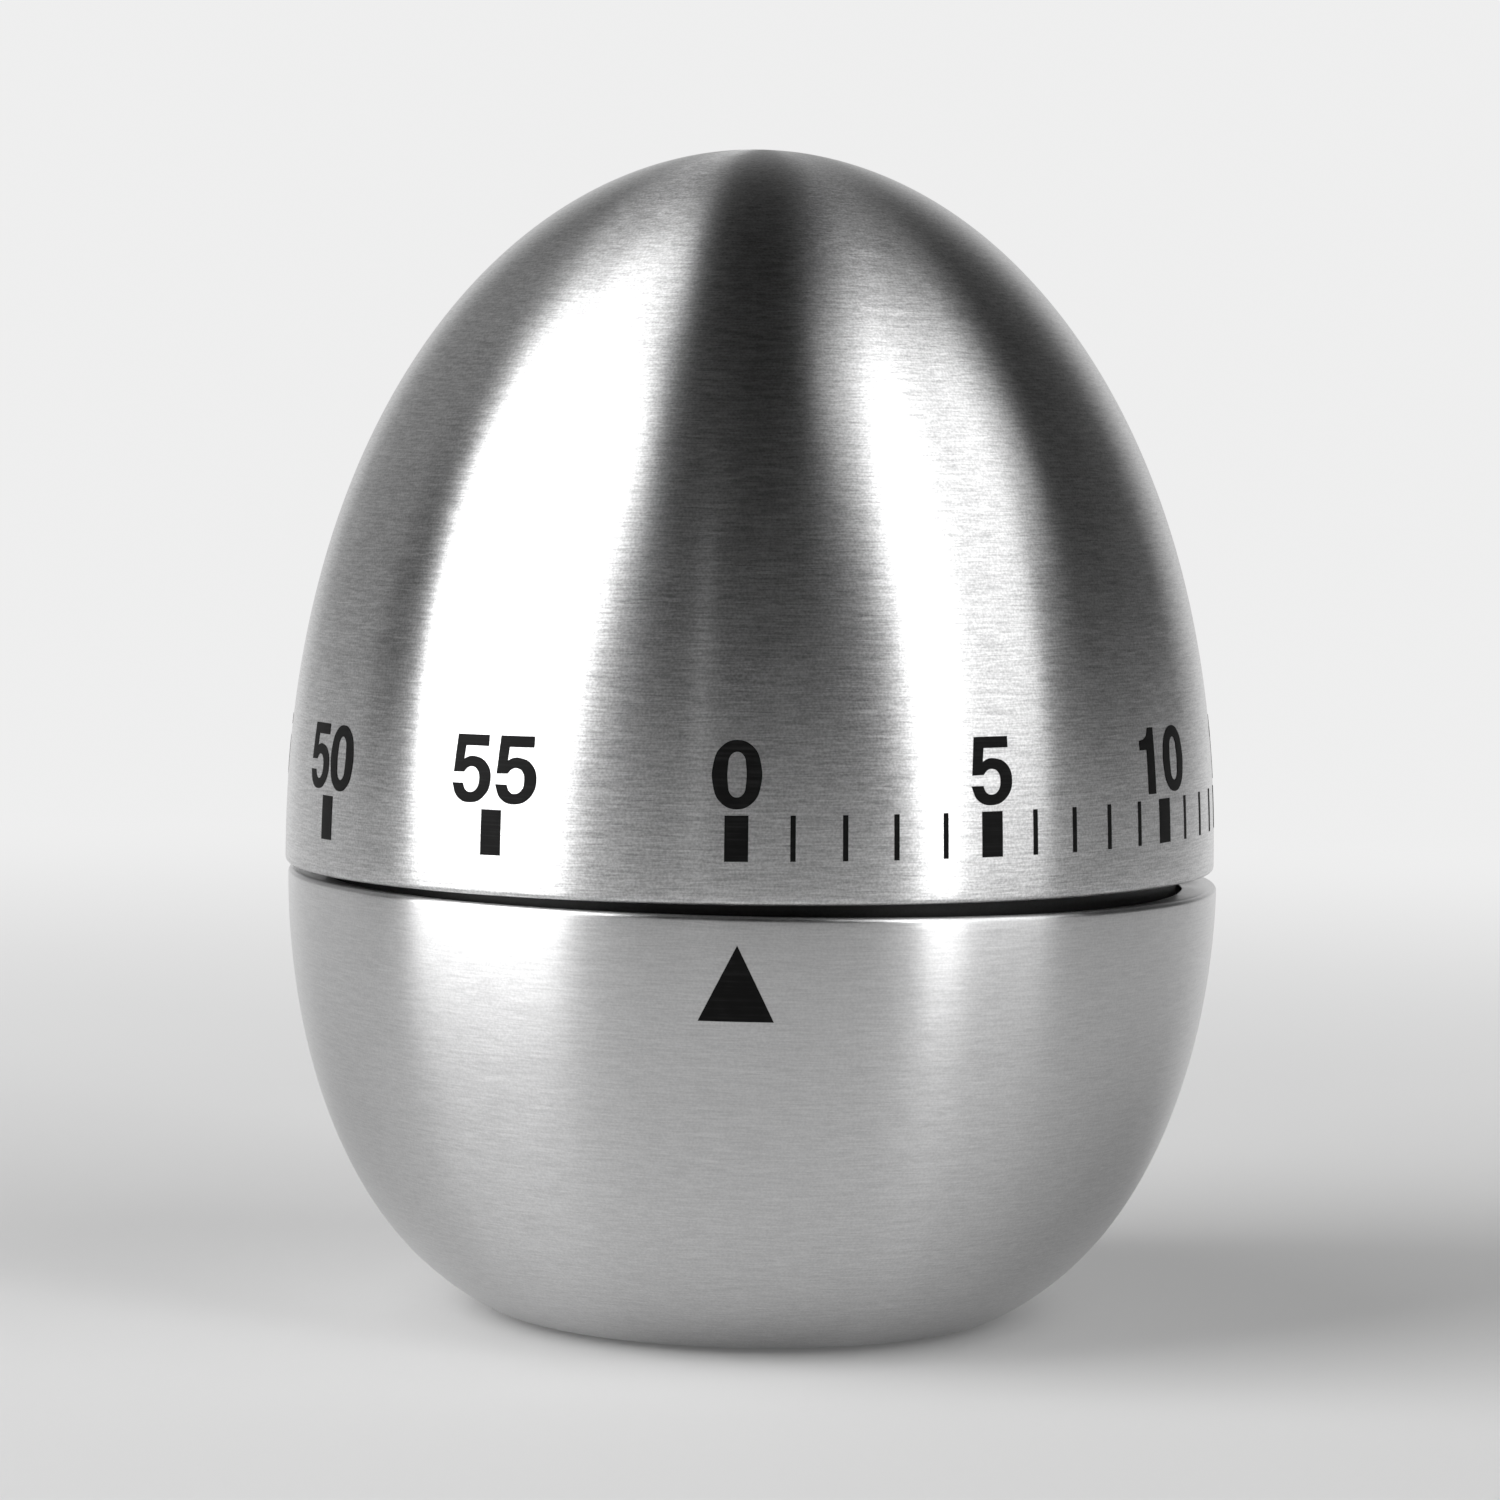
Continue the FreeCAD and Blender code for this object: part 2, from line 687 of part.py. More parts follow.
# ---------------------------------------------------------------- dial
def d_shaft(radius, flat_distance, z0, z1):
    """Upright D-shaped bar about the centre, its flat facing +Y."""
    bar = rod(CENTRE, radius, z0, z1)
    cutter = Part.makeBox(4 * radius, 2 * radius, z1 - z0 + 2, V(-2 * radius, flat_distance, z0 - 1))
    return bar.cut(cutter)


def dial_insert():
    """Moulded drive plate glued in the dome, with a socket for the winding arbor."""
    bottom = collar_top + insert_gap
    inset = shell_wall + insert_glue
    reach = solve(lambda a: collar_radius - dome_point(a, inset).x, 1, 60)
    top = dome_point(reach, inset).z
    band = ring(CENTRE, collar_radius, collar_radius - insert_wall, bottom, top)
    web = rod(CENTRE, collar_radius - insert_wall / 2, insert_web_height, insert_web_height + insert_web)
    hub = rod(CENTRE, hub_radius, hub_bottom, hub_top)
    ribs = []
    for k in range(insert_ribs):
        a = 360 * k / insert_ribs + 30
        ribs.append(strap(polar(hub_radius - 1, a), polar(collar_radius - insert_wall, a), insert_wall,
                          insert_wall, insert_web_height - insert_rib_height / 2,
                          insert_web + insert_rib_height))
    body = band.fuse([web, hub] + ribs).removeSplitter()
    socket = d_shaft(winding_radius + hub_fit, winding_flat + hub_fit, hub_bottom - 1,
                     winding_top + socket_clearance)
    z0, z1 = insert_web_height - 1, insert_web_height + insert_web + 1
    windows = [rod(polar(insert_window_circle, 360 * k / insert_ribs), insert_window_radius, z0, z1)
               for k in range(insert_ribs)]
    return body.cut([socket] + windows)


def winding_arbor():
    """Centre shaft: bottom pivot, spring core, ratchet and cam seats, D-shaped top."""
    low = bottom_plate_top + end_shake
    flat_start = hub_bottom - flat_run_out
    shaft = rod(CENTRE, winding_radius, low, flat_start)
    top = d_shaft(winding_radius, winding_flat, flat_start, winding_top)
    pivot = rod(CENTRE, winding_pivot, bottom_plate_z - winding_pivot_proud, low)
    core_low = barrel_z + barrel_floor + core_play
    core_high = barrel_z + barrel_height - barrel_cover_thickness - barrel_cover_sink - core_play
    core = rod(CENTRE, core_radius, core_low, core_high)
    return shaft.fuse([top, pivot, core]).removeSplitter()


def seat_bore(z0, thickness):
    """Cutter for a piece pressed on the winding arbor."""
    return rod(CENTRE, winding_radius + press, z0 - 1, z0 + thickness + 1)


def ratchet_wheel():
    """Ratchet that drives the great wheel through the click."""
    return pointed_wheel(CENTRE, ratchet_teeth, ratchet_radius, ratchet_depth, 0.4, 0, ratchet_z,
                         ratchet_thickness, winding_radius + press)


def release_cam():
    """Disc with one notch that lets the release lever fall at zero."""
    disc = rod(CENTRE, cam_radius, cam_z, cam_z + cam_thickness)
    notch = rod(polar(cam_radius, nose_angle), cam_notch, cam_z - 1, cam_z + cam_thickness + 1)
    return disc.cut([notch, seat_bore(cam_z, cam_thickness)])


def stop_rest_angle():
    """Angle of the stop tab at rest, so that the free turn is dial_travel."""
    return stop_pin_angle - (360 - dial_travel) / 2


def stop_arm():
    """Arm on the arbor whose bent tab meets the stop pin at both ends of the travel."""
    angle = stop_rest_angle()
    root = stop_circle - stop_tab_root
    tip = polar(root - 0.1, angle)
    arm = strap(CENTRE, tip, 2 * stop_hub_radius, stop_arm_width, stop_arm_z, stop_arm_thickness)
    tab = Part.makeBox(stop_tab_root + stop_tab_reach, stop_tab_width, stop_arm_thickness,
                       V(root, -stop_tab_width / 2, stop_arm_z))
    tab.rotate(V(0, 0, 0), UP, angle)
    return arm.fuse(tab).removeSplitter().cut(seat_bore(stop_arm_z, stop_arm_thickness))


# ---------------------------------------------------------------- movement frame
PIVOTS = (SECOND, THIRD, ESCAPE, PALLET, STRIKE)


def top_plate():
    """Upper plate with three ears, bearing holes and a slot for the lock pin."""
    disc = rod(CENTRE, plate_radius, top_plate_z, top_plate_top)
    ears = [strap(polar(plate_radius - 3, a), polar(frame_screw_circle, a), 6, 2 * frame_boss_radius,
                  top_plate_z, plate_thickness) for a in frame_screw_angles]
    z0, z1 = top_plate_z - 1, top_plate_top + 1
    holes = [rod(CENTRE, winding_radius + running, z0, z1)]
    holes += [rod(p, pivot_radius + running, z0, z1) for p in PIVOTS + (HAMMER, BALANCE)]
    frame_hole = frame_screw_radius + screw_clearance
    pillar_hole = pillar_screw_radius + screw_clearance
    holes += [rod(polar(frame_screw_circle, a), frame_hole, z0, z1) for a in frame_screw_angles]
    holes += [rod(polar(pillar_circle, a), pillar_hole, z0, z1) for a in pillar_angles]
    holes.append(rod(LEVER, rivet_radius + press, z0, z1))
    holes.append(rod(polar(stop_circle, stop_pin_angle), stop_pin_radius + press, z0, z1))
    holes.append(rod(STUD, 0.3 + press, z0, z1))
    holes.append(rod(LOCK, lock_pin_radius + lock_pin_travel, z0, z1))
    holes.append(rod(lever_spring_foot(), lever_spring_rivet + press, z0, z1))
    return disc.fuse(ears).removeSplitter().cut(holes)


def bottom_plate():
    """Lower plate with bearing holes and riveted pillars."""
    disc = rod(CENTRE, plate_radius, bottom_plate_z, bottom_plate_top)
    z0, z1 = bottom_plate_z - 1, bottom_plate_top + 1
    holes = [rod(CENTRE, winding_pivot + running, z0, z1)]
    holes += [rod(p, pivot_radius + running, z0, z1) for p in PIVOTS + (BALANCE,)]
    holes.append(rod(HAMMER, arbor_radius + running, z0, z1))
    holes += [rod(polar(pillar_circle, a), pillar_rivet + press, z0, z1) for a in pillar_angles]
    holes.append(rod(spring_post(), 0.3 + press, z0, z1))
    return disc.cut(holes)


def pillars():
    """Turned pillars: riveted below, tapped for a screw above."""
    made = []
    for a in pillar_angles:
        p = polar(pillar_circle, a)
        body = rod(p, pillar_radius, bottom_plate_top, top_plate_z)
        rivet = rod(p, pillar_rivet, bottom_plate_z, bottom_plate_top)
        tapped = rod(p, pillar_screw_radius + screw_fit, top_plate_z - pillar_screw_length, top_plate_z + 1)
        made.append(body.fuse(rivet).removeSplitter().cut(tapped))
    return Part.makeCompound(made)


def pillar_screws():
    """Screws that hold the top plate to the pillars."""
    return Part.makeCompound([
        screw(polar(pillar_circle, a), top_plate_top, pillar_screw_radius,
              plate_thickness + pillar_screw_length - screw_tip_gap, pillar_screw_head, screw_head_height)
        for a in pillar_angles])


def movement_screws():
    """Screws that hold the movement's ears to the cup."""
    return Part.makeCompound([
        screw(polar(frame_screw_circle, a), top_plate_top, frame_screw_radius,
              plate_thickness + frame_screw_length, frame_screw_head, screw_head_height)
        for a in frame_screw_angles])


def stop_pin():
    """Pin in the top plate that the stop arm meets."""
    top = stop_arm_z + stop_arm_thickness + stop_pin_proud
    return rod(polar(stop_circle, stop_pin_angle), stop_pin_radius, top_plate_z, top)


# ---------------------------------------------------------------- going train
def great_wheel():
    """First wheel, free on the winding arbor and driven by the click."""
    phase = bearing(CENTRE, SECOND)
    solid = wheel(CENTRE, great_teeth, great_module, phase, great_z, winding_radius + running)
    return solid.cut(rod(click_pivot(), rivet_radius + press, great_z - 1, great_z + wheel_thickness + 1))


def click_pivot():
    """Plan point of the click's rivet, on the web between two holes."""
    return polar(click_pivot_circle, bearing(CENTRE, SECOND) + 180 / wheel_holes)


def click():
    """Pawl beside the ratchet."""
    pivot = click_pivot()
    nose_circle = ratchet_radius + click_gap + click_nose_width / 2
    nose = polar(nose_circle, bearing(CENTRE, pivot) - click_reach)
    body = strap(pivot, nose, click_width, click_nose_width, ratchet_z, ratchet_thickness)
    return body.cut(rod(pivot, rivet_radius + running, ratchet_z - 1, ratchet_z + ratchet_thickness + 1))


def click_rivet():
    """Rivet that carries the click on the great wheel."""
    pivot = click_pivot()
    top = ratchet_z + ratchet_thickness + rivet_gap
    shank = rod(pivot, rivet_radius, great_z, top)
    return shank.fuse(rod(pivot, click_rivet_head, top, top + click_rivet_head_height)).removeSplitter()


def click_spring():
    """Leaf that presses the click in: a riveted foot and a bent blade."""
    pivot_angle = bearing(CENTRE, click_pivot())
    foot = polar(click_spring_circle, pivot_angle - click_spring_foot_angle)
    tip = polar(click_spring_tip_circle, pivot_angle - click_spring_tip_angle)
    block = rod(foot, spring_foot_radius, great_z + wheel_thickness, ratchet_z + ratchet_thickness)
    blade = strap(foot, tip, click_spring_thickness, click_spring_thickness, ratchet_z + spring_edge_gap,
                  ratchet_thickness - 2 * spring_edge_gap)
    return block.fuse(blade).removeSplitter()


def second_wheel():
    phase = bearing(SECOND, THIRD)
    return wheel(SECOND, second_teeth, second_module, phase, second_z, arbor_radius + press, thin_wheel)


def second_pinion():
    return pinion(SECOND, CENTRE, great_module, great_z, [second_z])


def third_wheel():
    phase = bearing(THIRD, ESCAPE)
    return wheel(THIRD, third_teeth, third_module, phase, third_z, arbor_radius + press, thin_wheel)


def third_pinion():
    return pinion(THIRD, SECOND, second_module, second_z, [third_z], thin_wheel)


def escape_wheel():
    """Pointed teeth that lean the way the wheel turns, which is clockwise."""
    disc = pointed_wheel(ESCAPE, escape_teeth, escape_radius, escape_depth, -0.05, bearing(ESCAPE, PALLET),
                         escape_z, escape_thickness, arbor_radius + press)
    places = [polar(escape_hole_circle, 90 * k + 20, ESCAPE) for k in range(4)]
    holes = [rod(place, escape_hole, escape_z - 1, escape_top + 1) for place in places]
    return disc.cut(holes)


def escape_pinion():
    return pinion(ESCAPE, THIRD, third_module, third_z, [escape_z], thin_wheel)


# ---------------------------------------------------------------- escapement
def pallet_pin_points():
    """Plan points of the two pins, either side of the line to the escape wheel."""
    line_angle = bearing(ESCAPE, PALLET)
    return [polar(pallet_pin_circle, line_angle + s * pallet_pin_angle, ESCAPE) for s in (-1, 1)]


def pallet_lever():
    """Anchor with an arm to each pin and a forked tail towards the balance."""
    tail_length = balance_distance - impulse_circle - impulse_pin - fork_gap
    tail = polar(tail_length - 0.55, bearing(PALLET, BALANCE), PALLET)
    arms = [strap(PALLET, p, 2.0, 0.9, pallet_z, pallet_thickness) for p in pallet_pin_points()]
    body = strap(PALLET, tail, 1.6, 1.1, pallet_z, pallet_thickness).fuse(arms).removeSplitter()
    end = polar(tail_length, bearing(PALLET, BALANCE), PALLET)
    slot = strap(polar(tail_length - 0.8, bearing(PALLET, BALANCE), PALLET), end, 0.5, 0.5, pallet_z - 1, 3)
    pins = [rod(p, pallet_pin_radius + press, pallet_z - 1, pallet_z + 2) for p in pallet_pin_points()]
    return body.cut(pins + [slot, rod(PALLET, arbor_radius + press, pallet_z - 1, pallet_z + 2)])


def pallet_pins():
    """Round steel pins that lock the escape teeth."""
    return Part.makeCompound([rod(p, pallet_pin_radius, escape_z - 0.2, pallet_z + pallet_thickness)
                              for p in pallet_pin_points()])


def pallet_arbor():
    return arbor(PALLET, [pallet_z])


STUD = polar(collet_radius + hairspring_pitch * hairspring_turns + 0.4, balance_angle + 180, BALANCE)


def balance_wheel():
    """Weighted rim on three spokes."""
    z1 = balance_z + balance_thickness
    rim = ring(BALANCE, balance_radius, balance_radius - balance_rim, balance_z, z1)
    spokes = [strap(BALANCE, polar(balance_radius - balance_rim / 2, 120 * k + 15, BALANCE), 1.0, 0.8,
                    balance_z + 0.2, balance_thickness - 0.4) for k in range(3)]
    hub = rod(BALANCE, 1.3, balance_z, z1)
    bore = rod(BALANCE, balance_staff + press, balance_z - 1, z1 + 1)
    return rim.fuse(spokes + [hub]).removeSplitter().cut(bore)


def impulse_point():
    """Plan point of the impulse pin, on the line to the pallet arbor."""
    return polar(impulse_circle, bearing(BALANCE, PALLET), BALANCE)


def balance_staff_piece():
    """Staff with its roller table."""
    roller = rod(BALANCE, roller_radius, roller_z, roller_z + roller_thickness)
    staff = arbor(BALANCE, [balance_z], radius=balance_staff, pivot=0.3).fuse(roller).removeSplitter()
    return staff.cut(rod(impulse_point(), impulse_pin + press, roller_z - 1, roller_z + 1))


def impulse_pin_piece():
    """Pin hanging from the roller towards the fork."""
    return rod(impulse_point(), impulse_pin, pallet_z - 0.1, roller_z + roller_thickness)


def hairspring_collet():
    return ring(BALANCE, collet_radius - 0.02, balance_staff + press, hairspring_z - 0.1,
                hairspring_z + hairspring_height + 0.1)


def hairspring():
    """Flat spiral from the collet to the stud."""
    return spiral(BALANCE, collet_radius, hairspring_strip, hairspring_pitch, hairspring_turns,
                  hairspring_z, hairspring_height, balance_angle + 180)


def hairspring_stud():
    """Post under the top plate that holds the spring's outer end."""
    body = rod(STUD, 0.38, hairspring_z - 0.1, top_plate_z)
    rivet = rod(STUD, 0.3, top_plate_z, top_plate_top)
    return body.fuse(rivet).removeSplitter()


# ---------------------------------------------------------------- mainspring and strike
def barrel():
    """Toothed drum round the mainspring, free on the winding arbor."""
    gear = plate(tooth_outline(great_teeth, great_module, bearing(CENTRE, STRIKE)), barrel_z, barrel_floor)
    inside = barrel_radius - barrel_wall
    wall = ring(CENTRE, barrel_radius, inside, barrel_z + barrel_floor / 2, barrel_z + barrel_height)
    bore = rod(CENTRE, winding_radius + running, barrel_z - 1, barrel_z + barrel_floor + 1)
    return gear.fuse(wall).removeSplitter().cut(bore)


def barrel_cover():
    """Lid pressed in the drum."""
    top = barrel_z + barrel_height - barrel_cover_sink
    outside = barrel_radius - barrel_wall - press
    return ring(CENTRE, outside, winding_radius + running, top - barrel_cover_thickness, top)


def mainspring():
    """Coiled steel strip from the arbor's core to the drum."""
    z0 = barrel_z + barrel_floor + mainspring_gap
    space = barrel_height - barrel_floor - barrel_cover_thickness - barrel_cover_sink
    return spiral(CENTRE, core_radius + mainspring_seat, mainspring_strip, mainspring_pitch, mainspring_turns,
                  z0, space - 2 * mainspring_gap)


def strike_pinion():
    return pinion(STRIKE, CENTRE, great_module, barrel_z, [star_z], barrel_floor)


def star_wheel():
    """Pointed wheel that rocks the hammer."""
    return pointed_wheel(STRIKE, star_teeth, star_radius, star_depth, 0.25, bearing(STRIKE, HAMMER), star_z,
                         wheel_thickness, arbor_radius + press)


def bell():
    """Steel pan that rings, standing on the cup's centre boss."""
    centre = flat(bell_radius - bell_corner, bell_z + bell_corner)

    def corner(radius):
        """Quarter round from the side to the floor, with its two ends."""
        side, floor = flat(centre.x + radius, centre.z), flat(centre.x, centre.z - radius)
        middle = centre + (side + floor - centre - centre).normalize() * radius
        return side, floor, Part.Arc(side, middle, floor).toShape()

    out_side, out_floor, out_arc = corner(bell_corner)
    in_side, in_floor, in_arc = corner(bell_corner - bell_wall)
    rim = bell_z + bell_height
    hole = bell_screw_radius + screw_clearance
    edges = [out_arc, in_arc]
    edges += line(out_side, flat(bell_radius, rim), flat(bell_radius - bell_wall, rim), in_side)
    edges += line(out_floor, flat(hole, bell_z), flat(hole, bell_z + bell_wall), in_floor)
    return section(*edges)


def bell_screw():
    """Screw that holds the bell to the cup."""
    return screw(CENTRE, bell_z + bell_wall, bell_screw_radius, bell_wall + bell_rise + 0.6,
                 bell_screw_head, bell_screw_head_height)


def hammer_head_point():
    """Plan point of the hammer head at rest, inside the bell's rim."""
    radius = bell_radius - bell_wall - hammer_head_gap - hammer_head_radius
    return polar(radius, hammer_angle + hammer_head_angle)


def hammer_arbor():
    """Shaft of the hammer: it runs on down through the bottom plate."""
    shaft = rod(HAMMER, arbor_radius, hammer_arm_z, top_plate_z - end_shake)
    pivot = rod(HAMMER, pivot_radius, top_plate_z - end_shake - 0.1, top_plate_top)
    foot = bottom_plate_top + end_shake
    collars = [rod(HAMMER, arbor_radius + collar_step, z, z + collar_height)
               for z in (foot, star_z - collar_height)]
    return shaft.fuse([pivot] + collars).removeSplitter()


def hammer_arm():
    """Flat arm under the bottom plate."""
    arm = strap(HAMMER, hammer_head_point(), 2.6, 1.8, hammer_arm_z, hammer_arm_thickness)
    bores = [rod(HAMMER, arbor_radius + press, hammer_arm_z - 1, hammer_arm_z + 1),
             rod(hammer_head_point(), 0.4 + press, hammer_arm_z - 1, hammer_arm_z + 1)]
    return arm.cut(bores)


def hammer_head():
    """Brass striker riveted under the arm."""
    p = hammer_head_point()
    head = rod(p, hammer_head_radius, hammer_arm_z - hammer_head_length, hammer_arm_z)
    return head.fuse(rod(p, 0.4, hammer_arm_z, hammer_arm_z + hammer_arm_thickness)).removeSplitter()


def hammer_pallet():
    """Anchor whose two beaks straddle the star wheel's tips."""
    line_angle = bearing(STRIKE, HAMMER)
    beaks = [polar(star_radius + hammer_anchor_gap + 0.3, line_angle + s * 30, STRIKE) for s in (-1, 1)]
    arms = [strap(HAMMER, b, 2.0, 0.6, star_z, wheel_thickness) for b in beaks]
    body = arms[0].fuse(arms[1:]).removeSplitter()
    return body.cut(rod(HAMMER, arbor_radius + press, star_z - 1, star_z + 2))


def spring_post():
    """Plan point of the post for the hammer's return spring."""
    return polar(6.4, bearing(HAMMER, hammer_head_point()) - 42, HAMMER)


def hammer_spring_post():
    """Post under the bottom plate."""
    p = spring_post()
    return rod(p, 0.6, hammer_arm_z - 0.1, bottom_plate_z).fuse(
        rod(p, 0.3, bottom_plate_z, bottom_plate_top)).removeSplitter()


def hammer_spring():
    """Leaf from the post to the hammer arm."""
    post = spring_post()
    arm_point = polar(5.2, bearing(HAMMER, hammer_head_point()), HAMMER)
    away = bearing(arm_point, post)
    return strap(polar(0.62 + 0.1, away + 180, post), polar(1.1 + 0.15, away, arm_point), 0.16, 0.16,
                 hammer_arm_z + 0.05, hammer_arm_thickness - 0.1)


# ---------------------------------------------------------------- release lever
def release_lever():
    """Bell crank: a nose beside the cam and a tail beside the star wheel."""
    elbow = polar(elbow_radius, nose_angle)
    nose = polar(cam_radius + lever_nose_gap + lever_nose_width / 2, nose_angle)
    arm = strap(LEVER, elbow, lever_width, lever_elbow_width, lever_z, lever_thickness)
    tail = strap(LEVER, LOCK, lever_width, lever_tail_width, lever_z, lever_thickness)
    finger = strap(elbow, nose, lever_nose_width, lever_nose_width, lever_z, lever_thickness)
    bores = [rod(LEVER, lever_post_radius + running, lever_z - 1, lever_z + 2),
             rod(LOCK, lock_pin_radius + press, lever_z - 1, lever_z + 2)]
    return arm.fuse([tail, finger]).removeSplitter().cut(bores)


def lock_pin():
    """Wire that reaches down from the lever to the star wheel."""
    return rod(LOCK, lock_pin_radius, star_z - 0.2, lever_z + lever_thickness)


def lever_spring_foot():
    """Plan point of the spring's foot, on the star wheel's side of the tail."""
    return polar(lever_spring_foot_circle, bearing(LEVER, LOCK) + lever_spring_foot_angle, LEVER)


def lever_spring():
    """Leaf that presses the lever's nose in: a riveted foot and a blade beside the tail."""
    foot = lever_spring_foot()
    along = bearing(LEVER, LOCK)
    share = lever_spring_reach / span(LEVER, LOCK)
    half_width = (lever_width + (lever_tail_width - lever_width) * share) / 2
    beside = half_width + lever_spring_gap + lever_spring_thickness / 2
    tip = polar(beside, along + 90, polar(lever_spring_reach, along, LEVER))
    block = rod(foot, spring_foot_radius, top_plate_top, lever_z + lever_thickness)
    blade = strap(foot, tip, lever_spring_thickness, lever_spring_thickness, lever_z + spring_edge_gap,
                  lever_thickness - 2 * spring_edge_gap)
    rivet = rod(foot, lever_spring_rivet, top_plate_z, top_plate_top)
    return block.fuse([blade, rivet]).removeSplitter()


def lever_post():
    """Shouldered post riveted in the top plate."""
    shoulder = lever_z - rivet_gap
    top = lever_z + lever_thickness + rivet_gap
    body = rod(LEVER, lever_post_radius, shoulder, top)
    foot = rod(LEVER, lever_post_head, top_plate_top, shoulder)
    head = rod(LEVER, lever_post_head, top, top + lever_post_head_height)
    rivet = rod(LEVER, rivet_radius, top_plate_z, top_plate_top)
    return body.fuse([foot, head, rivet]).removeSplitter()


PIECES = {
    "lower_shell": lower_shell, "base_pad": base_pad, "base_screws": base_screws,
    "movement_cup": movement_cup, "upper_shell": upper_shell, "dial_insert": dial_insert,
    "winding_arbor": winding_arbor, "ratchet_wheel": ratchet_wheel, "release_cam": release_cam,
    "stop_arm": stop_arm, "stop_pin": stop_pin, "top_plate": top_plate, "bottom_plate": bottom_plate,
    "pillars": pillars, "pillar_screws": pillar_screws, "movement_screws": movement_screws,
    "great_wheel": great_wheel, "click": click, "click_rivet": click_rivet, "click_spring": click_spring,
    "second_wheel": second_wheel, "second_pinion": second_pinion, "third_wheel": third_wheel,
    "third_pinion": third_pinion, "escape_wheel": escape_wheel, "escape_pinion": escape_pinion,
    "pallet_lever": pallet_lever, "pallet_pins": pallet_pins, "pallet_arbor": pallet_arbor,
    "balance_wheel": balance_wheel, "balance_staff": balance_staff_piece, "impulse_pin": impulse_pin_piece,
    "hairspring_collet": hairspring_collet, "hairspring": hairspring, "hairspring_stud": hairspring_stud,
    "barrel": barrel, "barrel_cover": barrel_cover, "mainspring": mainspring,
    "strike_pinion": strike_pinion, "star_wheel": star_wheel, "bell": bell, "bell_screw": bell_screw,
    "hammer_arbor": hammer_arbor, "hammer_arm": hammer_arm, "hammer_head": hammer_head,
    "hammer_pallet": hammer_pallet, "hammer_spring_post": hammer_spring_post, "hammer_spring": hammer_spring,
    "release_lever": release_lever, "lock_pin": lock_pin, "lever_post": lever_post,
    "lever_spring": lever_spring,
}


def main():
    os.makedirs("parts", exist_ok=True)
    for name, make in PIECES.items():
        shape = make()
        solids = shape.Solids
        sound = all(s.isValid() and s.Volume > 0 for s in solids)
        print(f"{name:20s} solids {len(solids)} volume {sum(s.Volume for s in solids):10.3f} ok {sound}")
        whole = solids[0] if len(solids) == 1 else Part.makeCompound(solids)
        whole.exportStep(f"parts/{name}.step")


main()
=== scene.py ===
"""Brushed steel egg timer: shells, printing, foot, movement and a small studio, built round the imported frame.

Lengths are metres, +Z is up, and the pointer on the lower shell faces -Y.
"""

import logging
import math
from dataclasses import dataclass, field
from enum import Enum
from typing import Callable, Iterable, Sequence

import bmesh
import bpy
from mathutils import Matrix, Vector


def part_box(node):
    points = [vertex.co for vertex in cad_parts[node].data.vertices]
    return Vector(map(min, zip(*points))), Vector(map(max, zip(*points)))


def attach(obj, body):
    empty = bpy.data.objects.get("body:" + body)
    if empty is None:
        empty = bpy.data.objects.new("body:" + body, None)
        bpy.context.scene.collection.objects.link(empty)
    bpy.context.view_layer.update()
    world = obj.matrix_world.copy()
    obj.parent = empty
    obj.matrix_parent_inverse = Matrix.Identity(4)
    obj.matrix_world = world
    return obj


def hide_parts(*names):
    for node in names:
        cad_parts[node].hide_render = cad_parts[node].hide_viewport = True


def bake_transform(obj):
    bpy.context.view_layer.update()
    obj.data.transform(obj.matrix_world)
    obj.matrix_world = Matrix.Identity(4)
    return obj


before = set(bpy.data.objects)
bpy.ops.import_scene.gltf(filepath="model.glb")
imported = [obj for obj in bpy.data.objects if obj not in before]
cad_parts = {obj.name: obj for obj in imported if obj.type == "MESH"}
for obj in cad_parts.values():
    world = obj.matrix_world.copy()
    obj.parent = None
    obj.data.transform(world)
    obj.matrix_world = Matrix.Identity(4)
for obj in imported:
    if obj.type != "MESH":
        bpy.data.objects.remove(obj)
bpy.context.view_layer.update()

MM = 0.001
log = logging.getLogger("egg_timer")
Pair = tuple[float, float]
Triple = tuple[float, float, float]
Colour = tuple[float, float, float]


# ---------------------------------------------------------------- shader graph
class Value:
    """A number inside a node tree, which adds Math nodes when it is used in an expression."""

    def __init__(self, graph: "Graph", socket: bpy.types.NodeSocket) -> None:
        """Keep the graph and the output socket."""
        self.graph = graph
        self.socket = socket

    def maths(self, operation: str, *operands: "Value | float") -> "Value":
        """Result of a Math node, whose sockets get the operands in order."""
        return self.graph.value("ShaderNodeMath", {"operation": operation}, dict(enumerate(operands)))

    def __add__(self, other: "Value | float") -> "Value":
        """Sum."""
        return self.maths("ADD", self, other)

    __radd__ = __add__

    def __sub__(self, other: "Value | float") -> "Value":
        """Difference."""
        return self.maths("SUBTRACT", self, other)

    def __rsub__(self, other: "Value | float") -> "Value":
        """Difference from a number."""
        return self.maths("SUBTRACT", other, self)

    def __mul__(self, other: "Value | float") -> "Value":
        """Product."""
        return self.maths("MULTIPLY", self, other)

    __rmul__ = __mul__

    def __truediv__(self, other: "Value | float") -> "Value":
        """Quotient."""
        return self.maths("DIVIDE", self, other)

    def __pow__(self, power: float) -> "Value":
        """Power."""
        return self.maths("POWER", self, power)

    def swing(self, middle: float, width: float) -> "Value":
        """A noise from 0 to 1, moved to a middle and scaled to a width."""
        return middle + (self - 0.5) * width

    def above(self, low: float, high: float) -> "Value":
        """Smooth step from 0 at low to 1 at high."""
        inputs = {"Value": self, "From Min": low, "From Max": high}
        return self.graph.value("ShaderNodeMapRange", {"interpolation_type": "SMOOTHSTEP"}, inputs, "Result")


Source = Value | bpy.types.NodeSocket | float | Sequence[float]


